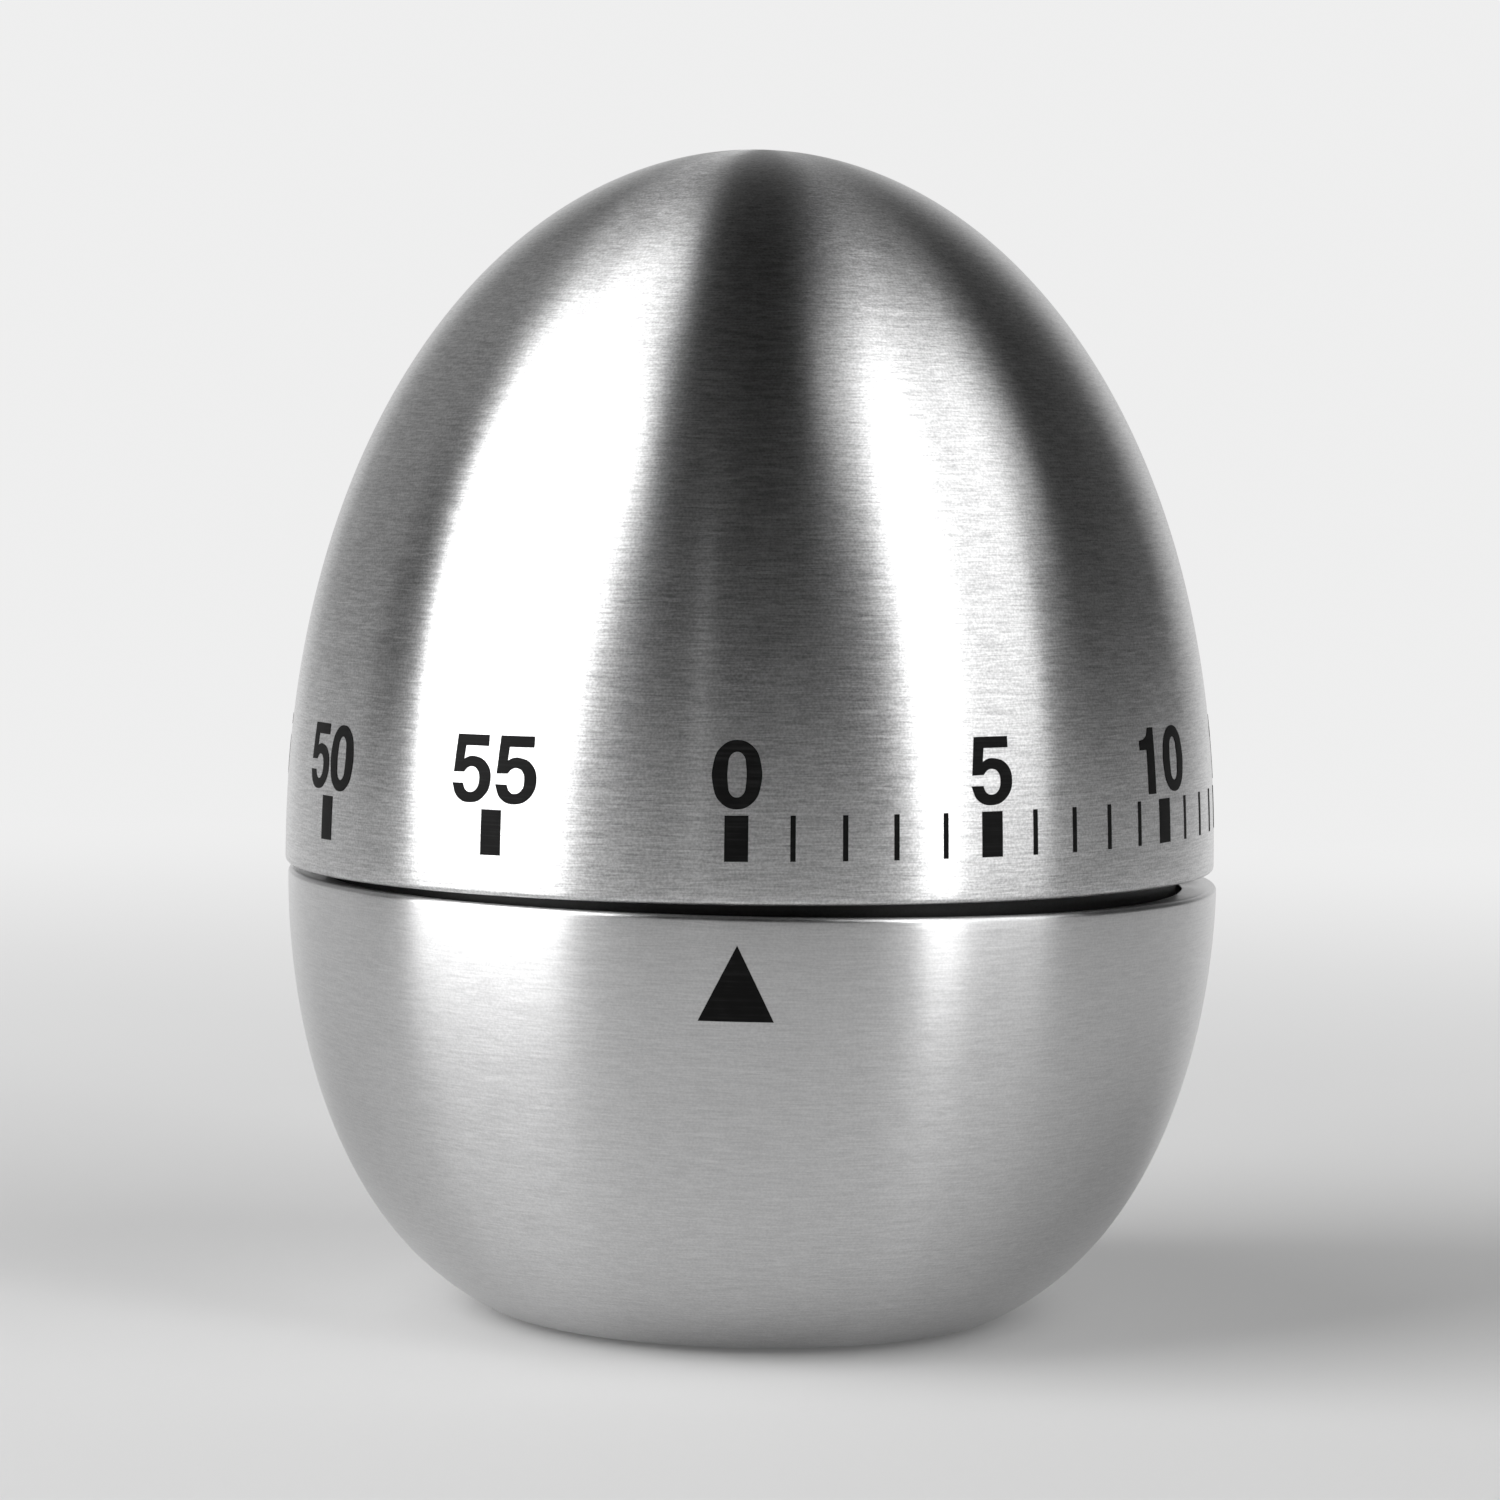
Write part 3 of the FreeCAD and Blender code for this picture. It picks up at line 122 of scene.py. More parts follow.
class Graph:
    """Node tree of a material or a world."""

    def __init__(self, owner: bpy.types.Material | bpy.types.World) -> None:
        """Empty the owner's node tree.

        Args:
            owner: the material or world.
        """
        owner.use_nodes = True
        self.tree = owner.node_tree
        self.tree.nodes.clear()

    def give(self, socket: bpy.types.NodeSocket, source: Source) -> None:
        """Link a source to a socket, or set the socket to it.

        Args:
            socket: the input socket.
            source: a Value or socket to link, or what the socket is set to.
        """
        if isinstance(source, Value):
            source = source.socket
        if isinstance(source, bpy.types.NodeSocket):
            self.tree.links.new(source, socket)
        elif socket.type == "RGBA":
            socket.default_value = (*source, 1)
        else:
            socket.default_value = source

    def node(self, kind: str, settings: dict | None = None, inputs: dict | None = None) -> bpy.types.Node:
        """Add any node.

        Args:
            kind: the node's type.
            settings: attributes, and a ramp's stops as rising (position, grey) pairs under "stops".
            inputs: what each socket gets, by the socket's name or number.

        Returns:
            The new node.
        """
        node = self.tree.nodes.new(kind)
        for key, setting in (settings or {}).items():
            if key == "stops":
                elements = node.color_ramp.elements
                for position, _ in setting[:-2]:
                    elements.new(position)
                for element, (position, grey) in zip(elements, setting):
                    element.position = position
                    element.color = (grey, grey, grey, 1)
            else:
                setattr(node, key, setting)
        for key, source in (inputs or {}).items():
            self.give(node.inputs[key], source)
        return node

    def value(self, kind: str, settings: dict | None, inputs: dict | None, output: int | str = 0) -> Value:
        """One output of a new node, ready for an expression."""
        return Value(self, self.node(kind, settings, inputs).outputs[output])

    def principled(self, **inputs: Source) -> None:
        """Add the Principled shader, whose sockets go by their keys in SOCKETS, and the output."""
        shader = self.node("ShaderNodeBsdfPrincipled", None, {SOCKETS[key]: inputs[key] for key in inputs})
        self.node("ShaderNodeOutputMaterial", None, {0: shader.outputs[0]})

    def place(self, shift: Triple = (0, 0, 0), scale: Triple = (1, 1, 1)) -> bpy.types.NodeSocket:
        """Position on the piece in metres, shifted and then stretched.

        Args:
            shift: what is added to the position.
            scale: factor along each axis.

        Returns:
            The changed position.
        """
        place = self.node("ShaderNodeTexCoord").outputs["Object"]
        moved = self.node("ShaderNodeVectorMath", {"operation": "ADD"}, {0: place, 1: shift}).outputs[0]
        return self.node("ShaderNodeVectorMath", {"operation": "MULTIPLY"}, {0: moved, 1: scale}).outputs[0]

    def noise(self, vector: bpy.types.NodeSocket, detail: float = 2.0, roughness: float = 0.5) -> Value:
        """Fractal noise between 0 and 1, from its octaves and the share of the finer ones."""
        inputs = {"Vector": vector, "Scale": 1.0, "Detail": detail, "Roughness": roughness}
        return self.value("ShaderNodeTexNoise", None, inputs)

    def cells(self, count: float | Triple, detail: float = 2.0, roughness: float = 0.5,
              shift: Triple = (0, 0, 0)) -> Value:
        """Fractal noise on the piece, from its cells for each metre, the same or along X, Y and Z."""
        scale = count if isinstance(count, tuple) else (count, count, count)
        return self.noise(self.place(shift, scale), detail, roughness)

    def parts(self, vector: bpy.types.NodeSocket) -> tuple[Value, Value, Value]:
        """The three numbers of a vector."""
        node = self.node("ShaderNodeSeparateXYZ", None, {0: vector})
        return tuple(Value(self, socket) for socket in node.outputs)

    def joined(self, x: Value | float, y: Value | float, z: Value | float) -> bpy.types.NodeSocket:
        """A vector from three numbers."""
        return self.node("ShaderNodeCombineXYZ", None, {0: x, 1: y, 2: z}).outputs[0]

    def blend(self, share: Value, first: Source, second: Source) -> bpy.types.NodeSocket:
        """Colour between two linear colours, by the share of the second."""
        return self.node("ShaderNodeMix", {"data_type": "RGBA"}, {0: share, 6: first, 7: second}).outputs[2]

    def relief(self, height: Value, depth: float, strength: float) -> bpy.types.NodeSocket:
        """Normal of a relief, from a height of 0 to 1, its depth in metres, and the share that shows."""
        inputs = {"Height": height, "Distance": depth, "Strength": strength}
        return self.node("ShaderNodeBump", None, inputs).outputs[0]


SOCKETS = {
    "colour": "Base Color", "metallic": "Metallic", "roughness": "Roughness", "normal": "Normal",
    "anisotropy": "Anisotropic", "turn": "Anisotropic Rotation", "tangent": "Tangent",
    "specular": "Specular IOR Level", "glow": "Emission Color", "glow_strength": "Emission Strength",
}


# ---------------------------------------------------------------- finishes
@dataclass(frozen=True)
class Finish:
    """A surface finish, which makes a material. Its patterns are noises, in cells for each metre."""

    name: str

    def material(self) -> bpy.types.Material:
        """Make the finish's material.

        Returns:
            The material.
        """
        material = bpy.data.materials.new(self.name)
        self.paint(Graph(material))
        return material

    def paint(self, graph: Graph) -> None:
        """Add the finish's own nodes."""
        raise NotImplementedError


@dataclass(frozen=True)
class SpunSteel(Finish):
    """Stainless steel brushed round and round while it turned on a lathe."""

    colour: Colour = (0.46, 0.46, 0.465)
    pale: Colour = (0.665, 0.665, 0.665)
    line: float = 0.09 * MM  # width of a fine brush line
    stroke: float = 1.4 * MM  # length of a fine brush line
    contrast: Pair = (0.30, 0.70)  # noise in the darkest and in the palest lines
    scratched: Pair = (0.64, 0.76)  # noise where a scratch begins and where it is full
    grit: float = 7000.0
    clouds: float = 60.0
    smoothness: float = 0.278  # roughness of the smoothest steel
    relief_depth: float = 0.0010 * MM

    def brushing(self, graph: Graph, way: tuple[Value, Value], widths: float, lengths: float,
                 slope: float) -> Value:
        """Noise drawn out into lines round the axis.

        Args:
            graph: the material's graph.
            way: X and Y of the direction outwards from the axis.
            widths: width of a line, in fine lines.
            lengths: length of a line, in fine lines.
            slope: rise of the lines for each metre along them.

        Returns:
            Line strength between 0 and 1.
        """
        width, reach = widths * self.line, EGG_RADIUS / (lengths * self.stroke)
        arc = graph.value("ShaderNodeAttribute", {"attribute_name": "arc"}, None, "Fac")
        drift = arc / width + way[0] * (slope * EGG_RADIUS / width)
        return graph.noise(graph.joined(way[0] * reach, way[1] * reach, drift), roughness=0.6)

    def paint(self, graph: Graph) -> None:
        """Add the nodes of the brushed steel.

        Args:
            graph: the material's graph.
        """
        x, y, _ = graph.parts(graph.place())
        level = graph.node("ShaderNodeVectorMath", {"operation": "NORMALIZE"}, {0: graph.joined(x, y, 0.0)})
        way = graph.parts(level.outputs[0])[:2]
        fine = self.brushing(graph, way, 1.0, 1.0, 0.02).above(*self.contrast)
        coarse = self.brushing(graph, way, 2.0, 3.0, -0.03).above(*self.contrast)
        scratch = self.brushing(graph, way, 1.2, 4.0, 0.08).above(*self.scratched)
        grit = graph.cells(self.grit, 1.0).above(*self.contrast)
        cloud = graph.cells(self.clouds, 3.0)
        tone = fine * 0.35 + coarse * 0.20 + grit * 0.30 + cloud * 0.15
        graph.principled(
            colour=graph.blend(tone + scratch * 0.25, self.colour, self.pale),
            metallic=1.0,
            roughness=self.smoothness + fine * coarse * 0.04 + scratch * 0.03,
            anisotropy=0.9,
            turn=0.25,
            tangent=graph.node("ShaderNodeTangent", {"direction_type": "RADIAL", "axis": "Z"}).outputs[0],
            normal=graph.relief(fine * 0.3 + coarse * 0.1 + grit * 0.6, self.relief_depth, 1.0),
        )


@dataclass(frozen=True)
class TwoTone(Finish):
    """A finish that turns from one colour to a second in places, and has a relief."""

    colour: Colour
    second: Colour
    turning: Pair = field(default=(0.35, 0.70), kw_only=True)  # pattern where the turn begins and ends
    depth: float = field(default=0.006 * MM, kw_only=True)  # of the relief
    shown: float = field(default=0.8, kw_only=True)  # share of the relief that shows

    def coat(self, graph: Graph, second: Value, rough: Value, relief: Value, **others: Source) -> None:
        """Add the shader.

        Args:
            graph: the material's graph.
            second: pattern of the second colour.
            rough: roughness.
            relief: pattern of the relief.
            others: what else the shader's sockets get, by their keys in SOCKETS.
        """
        colour = graph.blend(second.above(*self.turning), self.colour, self.second)
        normal = graph.relief(relief, self.depth, self.shown)
        graph.principled(colour=colour, roughness=rough, normal=normal, **others)


@dataclass(frozen=True)
class PrintingInk(TwoTone):
    """Black screen-printed ink, thin enough to take a little of the brushing."""

    colour: Colour = (0.002, 0.002, 0.002)
    second: Colour = (0.009, 0.009, 0.009)
    turning: Pair = (0.45, 0.75)
    depth: float = 0.003 * MM
    streaks: Triple = (160, 160, 7000)
    clouds: float = 900.0

    def paint(self, graph: Graph) -> None:
        """Add the nodes of the ink."""
        streak, cloud = graph.cells(self.streaks), graph.cells(self.clouds)
        self.coat(graph, streak * 0.7 + cloud * 0.3, streak.swing(0.50, 0.25), streak, specular=0.08)


@dataclass(frozen=True)
class MouldedPlastic(TwoTone):
    """Black moulded plastic with a fine spark-eroded grain."""

    colour: Colour = (0.005, 0.005, 0.005)
    second: Colour = (0.012, 0.012, 0.012)
    turning: Pair = (0.4, 0.7)
    depth: float = 0.012 * MM
    shown: float = 0.6
    grain: float = 5200.0
    flow: Triple = (40, 40, 900)

    def paint(self, graph: Graph) -> None:
        """Add the nodes of the plastic."""
        grain, flow = graph.cells(self.grain), graph.cells(self.flow, 3.0)
        self.coat(graph, grain * 0.5 + flow * 0.5, flow.swing(0.40, 0.25), grain, specular=0.25)


@dataclass(frozen=True)
class FootRubber(TwoTone):
    """Matt black rubber with a dusty, slightly greyed surface."""

    colour: Colour = (0.016, 0.016, 0.016)
    second: Colour = (0.055, 0.053, 0.050)
    turning: Pair = (0.5, 0.75)
    depth: float = 0.03 * MM
    shown: float = 0.7
    grain: float = 3500.0
    dust: float = 220.0

    def paint(self, graph: Graph) -> None:
        """Add the nodes of the rubber."""
        grain, dust = graph.cells(self.grain, 3.0), graph.cells(self.dust, 4.0)
        self.coat(graph, dust, grain.swing(0.72, 0.3), grain, specular=0.35)


@dataclass(frozen=True)
class BluedSpring(TwoTone):
    """Spring steel blued in an oven, its colour running from deep blue to straw."""

    colour: Colour = (0.035, 0.075, 0.20)
    second: Colour = (0.16, 0.10, 0.11)
    turning: Pair = (0.42, 0.68)
    depth: float = 0.004 * MM
    shown: float = 0.7
    run: float = 130.0
    drawn: Triple = (600, 600, 12000)

    def paint(self, graph: Graph) -> None:
        """Add the nodes of the blued steel."""
        run, drawn = graph.cells(self.run), graph.cells(self.drawn)
        self.coat(graph, run, drawn.swing(0.22, 0.2), drawn, metallic=1.0)


@dataclass(frozen=True)
class TurnedMetal(TwoTone):
    """Metal turned about an upright axis: fine rings on its faces and round its shank."""

    smoothness: float
    pitch: float  # between the rings
    centre: Pair
    haze: float = 450.0
    hazy: Pair = (0.5, 0.8)  # noise where the haze begins and where it is full

    def paint(self, graph: Graph) -> None:
        """Add the nodes of the turned metal.

        Args:
            graph: the material's graph.
        """
        shift = (-self.centre[0], -self.centre[1], 0)
        x, y, z = graph.parts(graph.place(shift))
        radius = (x * x + y * y) ** 0.5
        rings = graph.noise(graph.joined(radius / self.pitch, z / self.pitch, 0.0), roughness=0.6)
        haze = graph.cells(self.haze, 4.0, shift=shift)
        rough = rings.swing(self.smoothness, 0.16) + haze.above(*self.hazy) * 0.12
        self.coat(graph, rings * 0.5 + haze * 0.5, rough, rings, metallic=1.0)


@dataclass(frozen=True)
class RolledSheet(TwoTone):
    """Sheet metal with the grain of the rolling mill along one direction and a light plating haze."""

    smoothness: float
    grain: Triple = (250, 9000, 3000)
    haze: float = 260.0
    spots: float = 2600.0
    spotted: Pair = (0.66, 0.75)  # noise where a spot begins and where it is full

    def paint(self, graph: Graph) -> None:
        """Add the nodes of the sheet.

        Args:
            graph: the material's graph.
        """
        rolled, haze = graph.cells(self.grain, roughness=0.6), graph.cells(self.haze, 5.0)
        spots = graph.cells(self.spots).above(*self.spotted)
        rough = haze.swing(self.smoothness, 0.25) + spots * 0.08
        self.coat(graph, rolled * 0.5 + haze * 0.5, rough, rolled * 0.7 + spots * 0.3, metallic=1.0)


# ---------------------------------------------------------------- mesh helpers
EGG_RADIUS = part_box("upper_shell")[1].x
DOME_EDGE_RISE = Vector((0, 0, 0.30 * MM))  # the drawn edges stand this much above the CAD ones
BOWL_RIM_RISE = Vector((0, 0, 0.45 * MM))
SAME = 1e-7  # vertices this near to each other are one
SHORT = 1e-8  # edges this short are dissolved
SLIVER = 0.003 * MM  # width of the slivers that cuts leave


def new_piece(name: str, mesh: bmesh.types.BMesh, finish: Finish, smooth: bool = True) -> bpy.types.Object:
    """Turn a bmesh into an object with one finish.

    Args:
        name: the object's name.
        mesh: the finished bmesh, freed here.
        finish: its surface finish.
        smooth: whether its faces shade smoothly.

    Returns:
        The new object, at the origin.
    """
    for face in mesh.faces:
        face.smooth = smooth
    data = bpy.data.meshes.new(name)
    mesh.to_mesh(data)
    mesh.free()
    data.materials.append(finish.material())
    piece = bpy.data.objects.new(name, data)
    bpy.context.scene.collection.objects.link(piece)
    return piece


def revolved(outline: Sequence[Pair], steps: int) -> bmesh.types.BMesh:
    """Spin a radial section once about Z.

    Args:
        outline: (radius, height) points round the section, with both ends on the axis.
        steps: steps of the spin.

    Returns:
        The closed solid, with the distance along the outline in the vertex layer "arc".
    """
    mesh = bmesh.new()
    arc = mesh.verts.layers.float.new("arc")
    verts = [mesh.verts.new((r, 0.0, z)) for r, z in outline]
    length = 0.0
    for here, before in zip(verts, [verts[0]] + verts):
        length += (here.co - before.co).length
        here[arc] = length
    for here, after in zip(verts, verts[1:]):
        mesh.edges.new((here, after))
    bmesh.ops.spin(mesh, geom=mesh.verts[:] + mesh.edges[:], cent=(0, 0, 0), axis=(0, 0, 1), dvec=(0, 0, 0),
                   angle=2 * math.pi, steps=steps, use_merge=True, use_duplicate=False)
    bmesh.ops.remove_doubles(mesh, verts=mesh.verts[:], dist=SAME)
    bmesh.ops.dissolve_degenerate(mesh, edges=mesh.edges[:], dist=SHORT)
    bmesh.ops.recalc_face_normals(mesh, faces=mesh.faces[:])
    return mesh


def set_in(points: Sequence[Pair], depth: float) -> list[Pair]:
    """Points of a curve moved square to it, to its left.

    Args:
        points: (radius, height) points along the curve.
        depth: how far to move them.

    Returns:
        The moved points.
    """
    moved = []
    for k, (r, z) in enumerate(points):
        before, after = points[max(k - 1, 0)], points[min(k + 1, len(points) - 1)]
        way = Vector((after[0] - before[0], after[1] - before[1])).normalized()
        moved.append((max(r - depth * way.y, 0.0), z + depth * way.x))
    return moved


def arc_points(centre: Pair, radius: float, start: float, end: float, count: int) -> list[Pair]:
    """Points of an arc in the radial section, from one angle in degrees to another."""
    angles = [math.radians(start + (end - start) * k / (count - 1)) for k in range(count)]
    return [(centre[0] + radius * math.cos(a), centre[1] + radius * math.sin(a)) for a in angles]


def lift(mesh: bmesh.types.BMesh, geometry: Iterable[object], height: float) -> None:
    """Raise the vertices among some geometry by a height."""
    verts = [element for element in geometry if isinstance(element, bmesh.types.BMVert)]
    bmesh.ops.translate(mesh, verts=verts, vec=(0, 0, height))


# ---------------------------------------------------------------- shells
@dataclass
class Shell:
    """What both drawn shells share: sheet, rolled edge and the lip turned in behind the edge."""

    wall: float = 0.28 * MM
    roll: float = 0.32 * MM
    lip: float = 2.2 * MM
    lip_slope: float = 0.25 * MM
    outer_points: int = 9
    inner_points: int = 6
    steps: int = 256

    def rolled_edge(self, z: float, way: int) -> list[Pair]:
        """Section of the edge and lip, from the outer wall round to the inner wall.

        Args:
            z: the edge's height.
            way: 1 for an edge at the top of its wall, -1 for one at the foot.

        Returns:
            (radius, height) points.
        """
        centre = (EGG_RADIUS - self.roll, z - way * self.roll)
        outer = arc_points(centre, self.roll, 0, way * 90, self.outer_points)
        inner = arc_points(centre, self.roll - self.wall, way * 90, 0, self.inner_points)
        tip = (EGG_RADIUS - self.lip, z - way * self.lip_slope)
        return outer + [tip, (tip[0], tip[1] - way * self.wall)] + inner


@dataclass
class UpperShell(Shell):
    """Drawn steel dome with its edge rolled in."""

    fullness: float = 2.17
    lean: float = -0.6  # degrees about Y, because the dome is glued slightly askew
    shift: Pair = (-0.2 * MM, -0.12 * MM)  # along X and Z, for the same reason
    rows: int = 110
    low: Vector = field(default_factory=lambda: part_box("upper_shell")[0] + DOME_EDGE_RISE)
    high: Vector = field(default_factory=lambda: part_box("upper_shell")[1])

    def point(self, angle: float) -> Pair:
        """Point of the dome's outline.

        Args:
            angle: 0 at the edge, 90 at the top, in degrees.

        Returns:
            Radius and height.
        """
        a = math.radians(angle)
        rise = (self.high.z - self.low.z) * math.sin(a) ** (2 / self.fullness)
        return EGG_RADIUS * max(math.cos(a), 0.0), self.low.z + rise

    def radius_at(self, z: float) -> float:
        """Outer radius at a height."""
        share = (z - self.low.z) / (self.high.z - self.low.z)
        return EGG_RADIUS * math.sqrt(1 - share**self.fullness)

    def outline(self) -> list[Pair]:
        """Closed section, from the top down the outside, round the rolled edge and up the inside.

        Returns:
            (radius, height) points.
        """
        share = (self.roll / (self.high.z - self.low.z)) ** (self.fullness / 2)
        first = math.degrees(math.asin(share))
        climb = [self.point(first + (90 - first) * (k / self.rows)) for k in range(self.rows + 1)]
        climb[0] = (EGG_RADIUS, self.low.z + self.roll)
        inside = set_in(climb, self.wall)
        inside[-1] = (0.0, self.high.z - self.wall)
        return climb[:0:-1] + self.rolled_edge(self.low.z, -1) + inside[1:]

    def seat(self) -> Matrix:
        """Small turn and shift with which the dome sits on its drive plate.

        Returns:
            The dome's placing.
        """
        foot = Matrix.Translation((0, 0, self.low.z))
        turned = foot @ Matrix.Rotation(math.radians(self.lean), 4, "Y") @ foot.inverted()
        return Matrix.Translation((self.shift[0], 0, self.shift[1])) @ turned

    def build(self, finish: Finish) -> bpy.types.Object:
        """Make the dome and put it in the place of its CAD node.

        Args:
            finish: its surface finish.

        Returns:
            The dome.
        """
        mesh = revolved(self.outline(), self.steps)
        mesh.transform(self.seat())
        piece = new_piece("dome_shell", mesh, finish)
        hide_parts("upper_shell")
        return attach(piece, "dial")


@dataclass
class LowerShell(Shell):
    """Drawn steel bowl: rolled rim, flat base and a stamped recess for the foot."""

    depth: float = 30.48 * MM
    fullness: float = 1.96
    squareness: float = 3.3
    blend: float = 0.35 * MM
    recess_radius: float = 13.6 * MM
    recess_depth: float = 1.15 * MM
    recess_chamfer: float = 0.3 * MM
    recess_flare: float = 0.2 * MM
    corner_points: int = 7
    rows: int = 90
    low: Vector = field(default_factory=lambda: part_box("lower_shell")[0])
    high: Vector = field(default_factory=lambda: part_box("lower_shell")[1] + BOWL_RIM_RISE)

    def radius_at(self, z: float) -> float:
        """Outer radius at a height."""
        share = max(self.high.z - z, 0.0) / self.depth
        return EGG_RADIUS * (1 - share**self.fullness) ** (1 / self.squareness)

    def outline(self) -> list[Pair]:
        """Closed section, from the middle of the base out, up the outside, and back inside.

        Returns:
            (radius, height) points.
        """
        base = self.low.z
        start, end = base + self.blend, self.high.z - self.roll
        turns = [math.pi / 2 * k / self.rows for k in range(self.rows + 1)]
        rise = [start + (end - start) * (1 - math.cos(turn)) for turn in turns]
        climb = [(self.radius_at(z), z) for z in rise]
        inside = set_in(climb, self.wall)
        corner = self.base_corner(climb[0], climb[1])
        step, top = self.recess_radius, base + self.recess_depth
        under = [(0.0, top), (step - self.recess_chamfer, top), (step, top - self.recess_chamfer),
                 (step, base + self.recess_flare), (step + self.recess_flare, base)]
        floor, back = base + self.wall, step + self.wall
        over = [(corner[0][0], floor), (back, floor), (back, top + self.wall), (0.0, top + self.wall)]
        return under + corner + climb[1:-1] + self.rolled_edge(self.high.z, 1) + inside[-2::-1] + over

    def base_corner(self, above: Pair, higher: Pair) -> list[Pair]:
        """Rounded corner between the flat base and the bowl.

        Args:
            above: lowest point of the bowl.
            higher: the point after it.

        Returns:
            Points from the base to the bowl's lowest point.
        """
        slope = math.atan2(higher[1] - above[1], higher[0] - above[0])
        drop = above[1] - self.low.z
        corner = above[0] - drop / math.tan(slope)
        reach = drop / math.sin(slope)
        radius = reach / math.tan(slope / 2)
        centre = (corner - reach, self.low.z + radius)
        return arc_points(centre, radius, -90, -90 + math.degrees(slope), self.corner_points)

    def build(self, finish: Finish) -> bpy.types.Object:
        """Make the bowl and put it in the place of its CAD node.

        Args:
            finish: its surface finish.

        Returns:
            The bowl.
        """
        piece = new_piece("bowl_shell", revolved(self.outline(), self.steps), finish)
        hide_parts("lower_shell")
        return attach(piece, "case")


# ---------------------------------------------------------------- printing
class Turn(Enum):
    """How an outline passes a point."""

    SHARP = "VECTOR"
    ROUND = "AUTO"


S, R = Turn.SHARP, Turn.ROUND
Contour = list[tuple[float, float, Turn]]

# Outlines of the digits on a height of 1, from the lower left corner.
DIGITS: dict[str, list[Contour]] = {
    "0": [
        [(0.357, 0.0, R), (0.605, 0.11, R), (0.710, 0.36, R), (0.710, 0.64, R), (0.605, 0.89, R),
         (0.357, 1.0, R), (0.11, 0.89, R), (0.005, 0.64, R), (0.005, 0.36, R), (0.11, 0.11, R)],
        [(0.357, 0.172, R), (0.452, 0.225, R), (0.488, 0.37, R), (0.488, 0.63, R), (0.452, 0.775, R),
         (0.357, 0.828, R), (0.262, 0.775, R), (0.226, 0.63, R), (0.226, 0.37, R), (0.262, 0.225, R)],
    ],
    "1": [
        [(0.27, 0.0, S), (0.49, 0.0, S), (0.49, 1.0, S), (0.33, 1.0, S), (0.29, 0.90, R), (0.21, 0.84, R),
         (0.07, 0.815, S), (0.07, 0.67, S), (0.27, 0.67, S)],
    ],
    "2": [
        [(0.0, 0.0, S), (0.71, 0.0, S), (0.71, 0.17, S), (0.29, 0.17, S), (0.42, 0.29, R), (0.62, 0.45, R),
         (0.705, 0.69, R), (0.62, 0.91, R), (0.36, 1.0, R), (0.11, 0.91, R), (0.015, 0.65, S),
         (0.215, 0.65, S), (0.25, 0.79, R), (0.36, 0.84, R), (0.46, 0.80, R), (0.50, 0.69, R),
         (0.44, 0.55, R), (0.25, 0.38, R), (0.06, 0.19, R)],
    ],
    "3": [
        [(0.005, 0.30, S), (0.205, 0.30, S), (0.245, 0.195, R), (0.35, 0.155, R), (0.465, 0.20, R),
         (0.505, 0.305, R), (0.46, 0.41, R), (0.36, 0.445, S), (0.27, 0.445, S), (0.27, 0.595, S),
         (0.345, 0.595, R), (0.445, 0.63, R), (0.48, 0.72, R), (0.445, 0.81, R), (0.345, 0.845, R),
         (0.25, 0.805, R), (0.215, 0.70, S), (0.025, 0.70, S), (0.115, 0.92, R), (0.345, 1.0, R),
         (0.585, 0.92, R), (0.68, 0.735, R), (0.645, 0.615, R), (0.55, 0.535, S), (0.665, 0.45, R),
         (0.715, 0.30, R), (0.615, 0.085, R), (0.35, 0.0, R), (0.10, 0.08, R)],
    ],
    "4": [
        [(0.41, 0.0, S), (0.605, 0.0, S), (0.605, 0.215, S), (0.715, 0.215, S), (0.715, 0.37, S),
         (0.605, 0.37, S), (0.605, 1.0, S), (0.395, 1.0, S), (0.0, 0.385, S), (0.0, 0.215, S),
         (0.41, 0.215, S)],
        [(0.41, 0.37, S), (0.17, 0.37, S), (0.41, 0.745, S)],
    ],
    "5": [
        [(0.075, 1.0, S), (0.655, 1.0, S), (0.655, 0.835, S), (0.235, 0.835, S), (0.212, 0.635, S),
         (0.295, 0.675, R), (0.395, 0.685, R), (0.625, 0.595, R), (0.715, 0.355, R), (0.61, 0.105, R),
         (0.355, 0.0, R), (0.115, 0.08, R), (0.012, 0.285, S), (0.212, 0.285, S), (0.26, 0.19, R),
         (0.35, 0.155, R), (0.465, 0.205, R), (0.512, 0.35, R), (0.47, 0.485, R), (0.365, 0.53, R),
         (0.28, 0.505, R), (0.222, 0.445, S), (0.03, 0.44, S)],
    ],
}
DIGIT_WIDTH = 0.715
CURVE_STEPS = 6  # straight pieces in each bend of an outline
HOUR, NUMBERED, MINUTE_TURN = 60, 5, 6.0  # minutes on the dial, minutes between numbers, degrees a minute


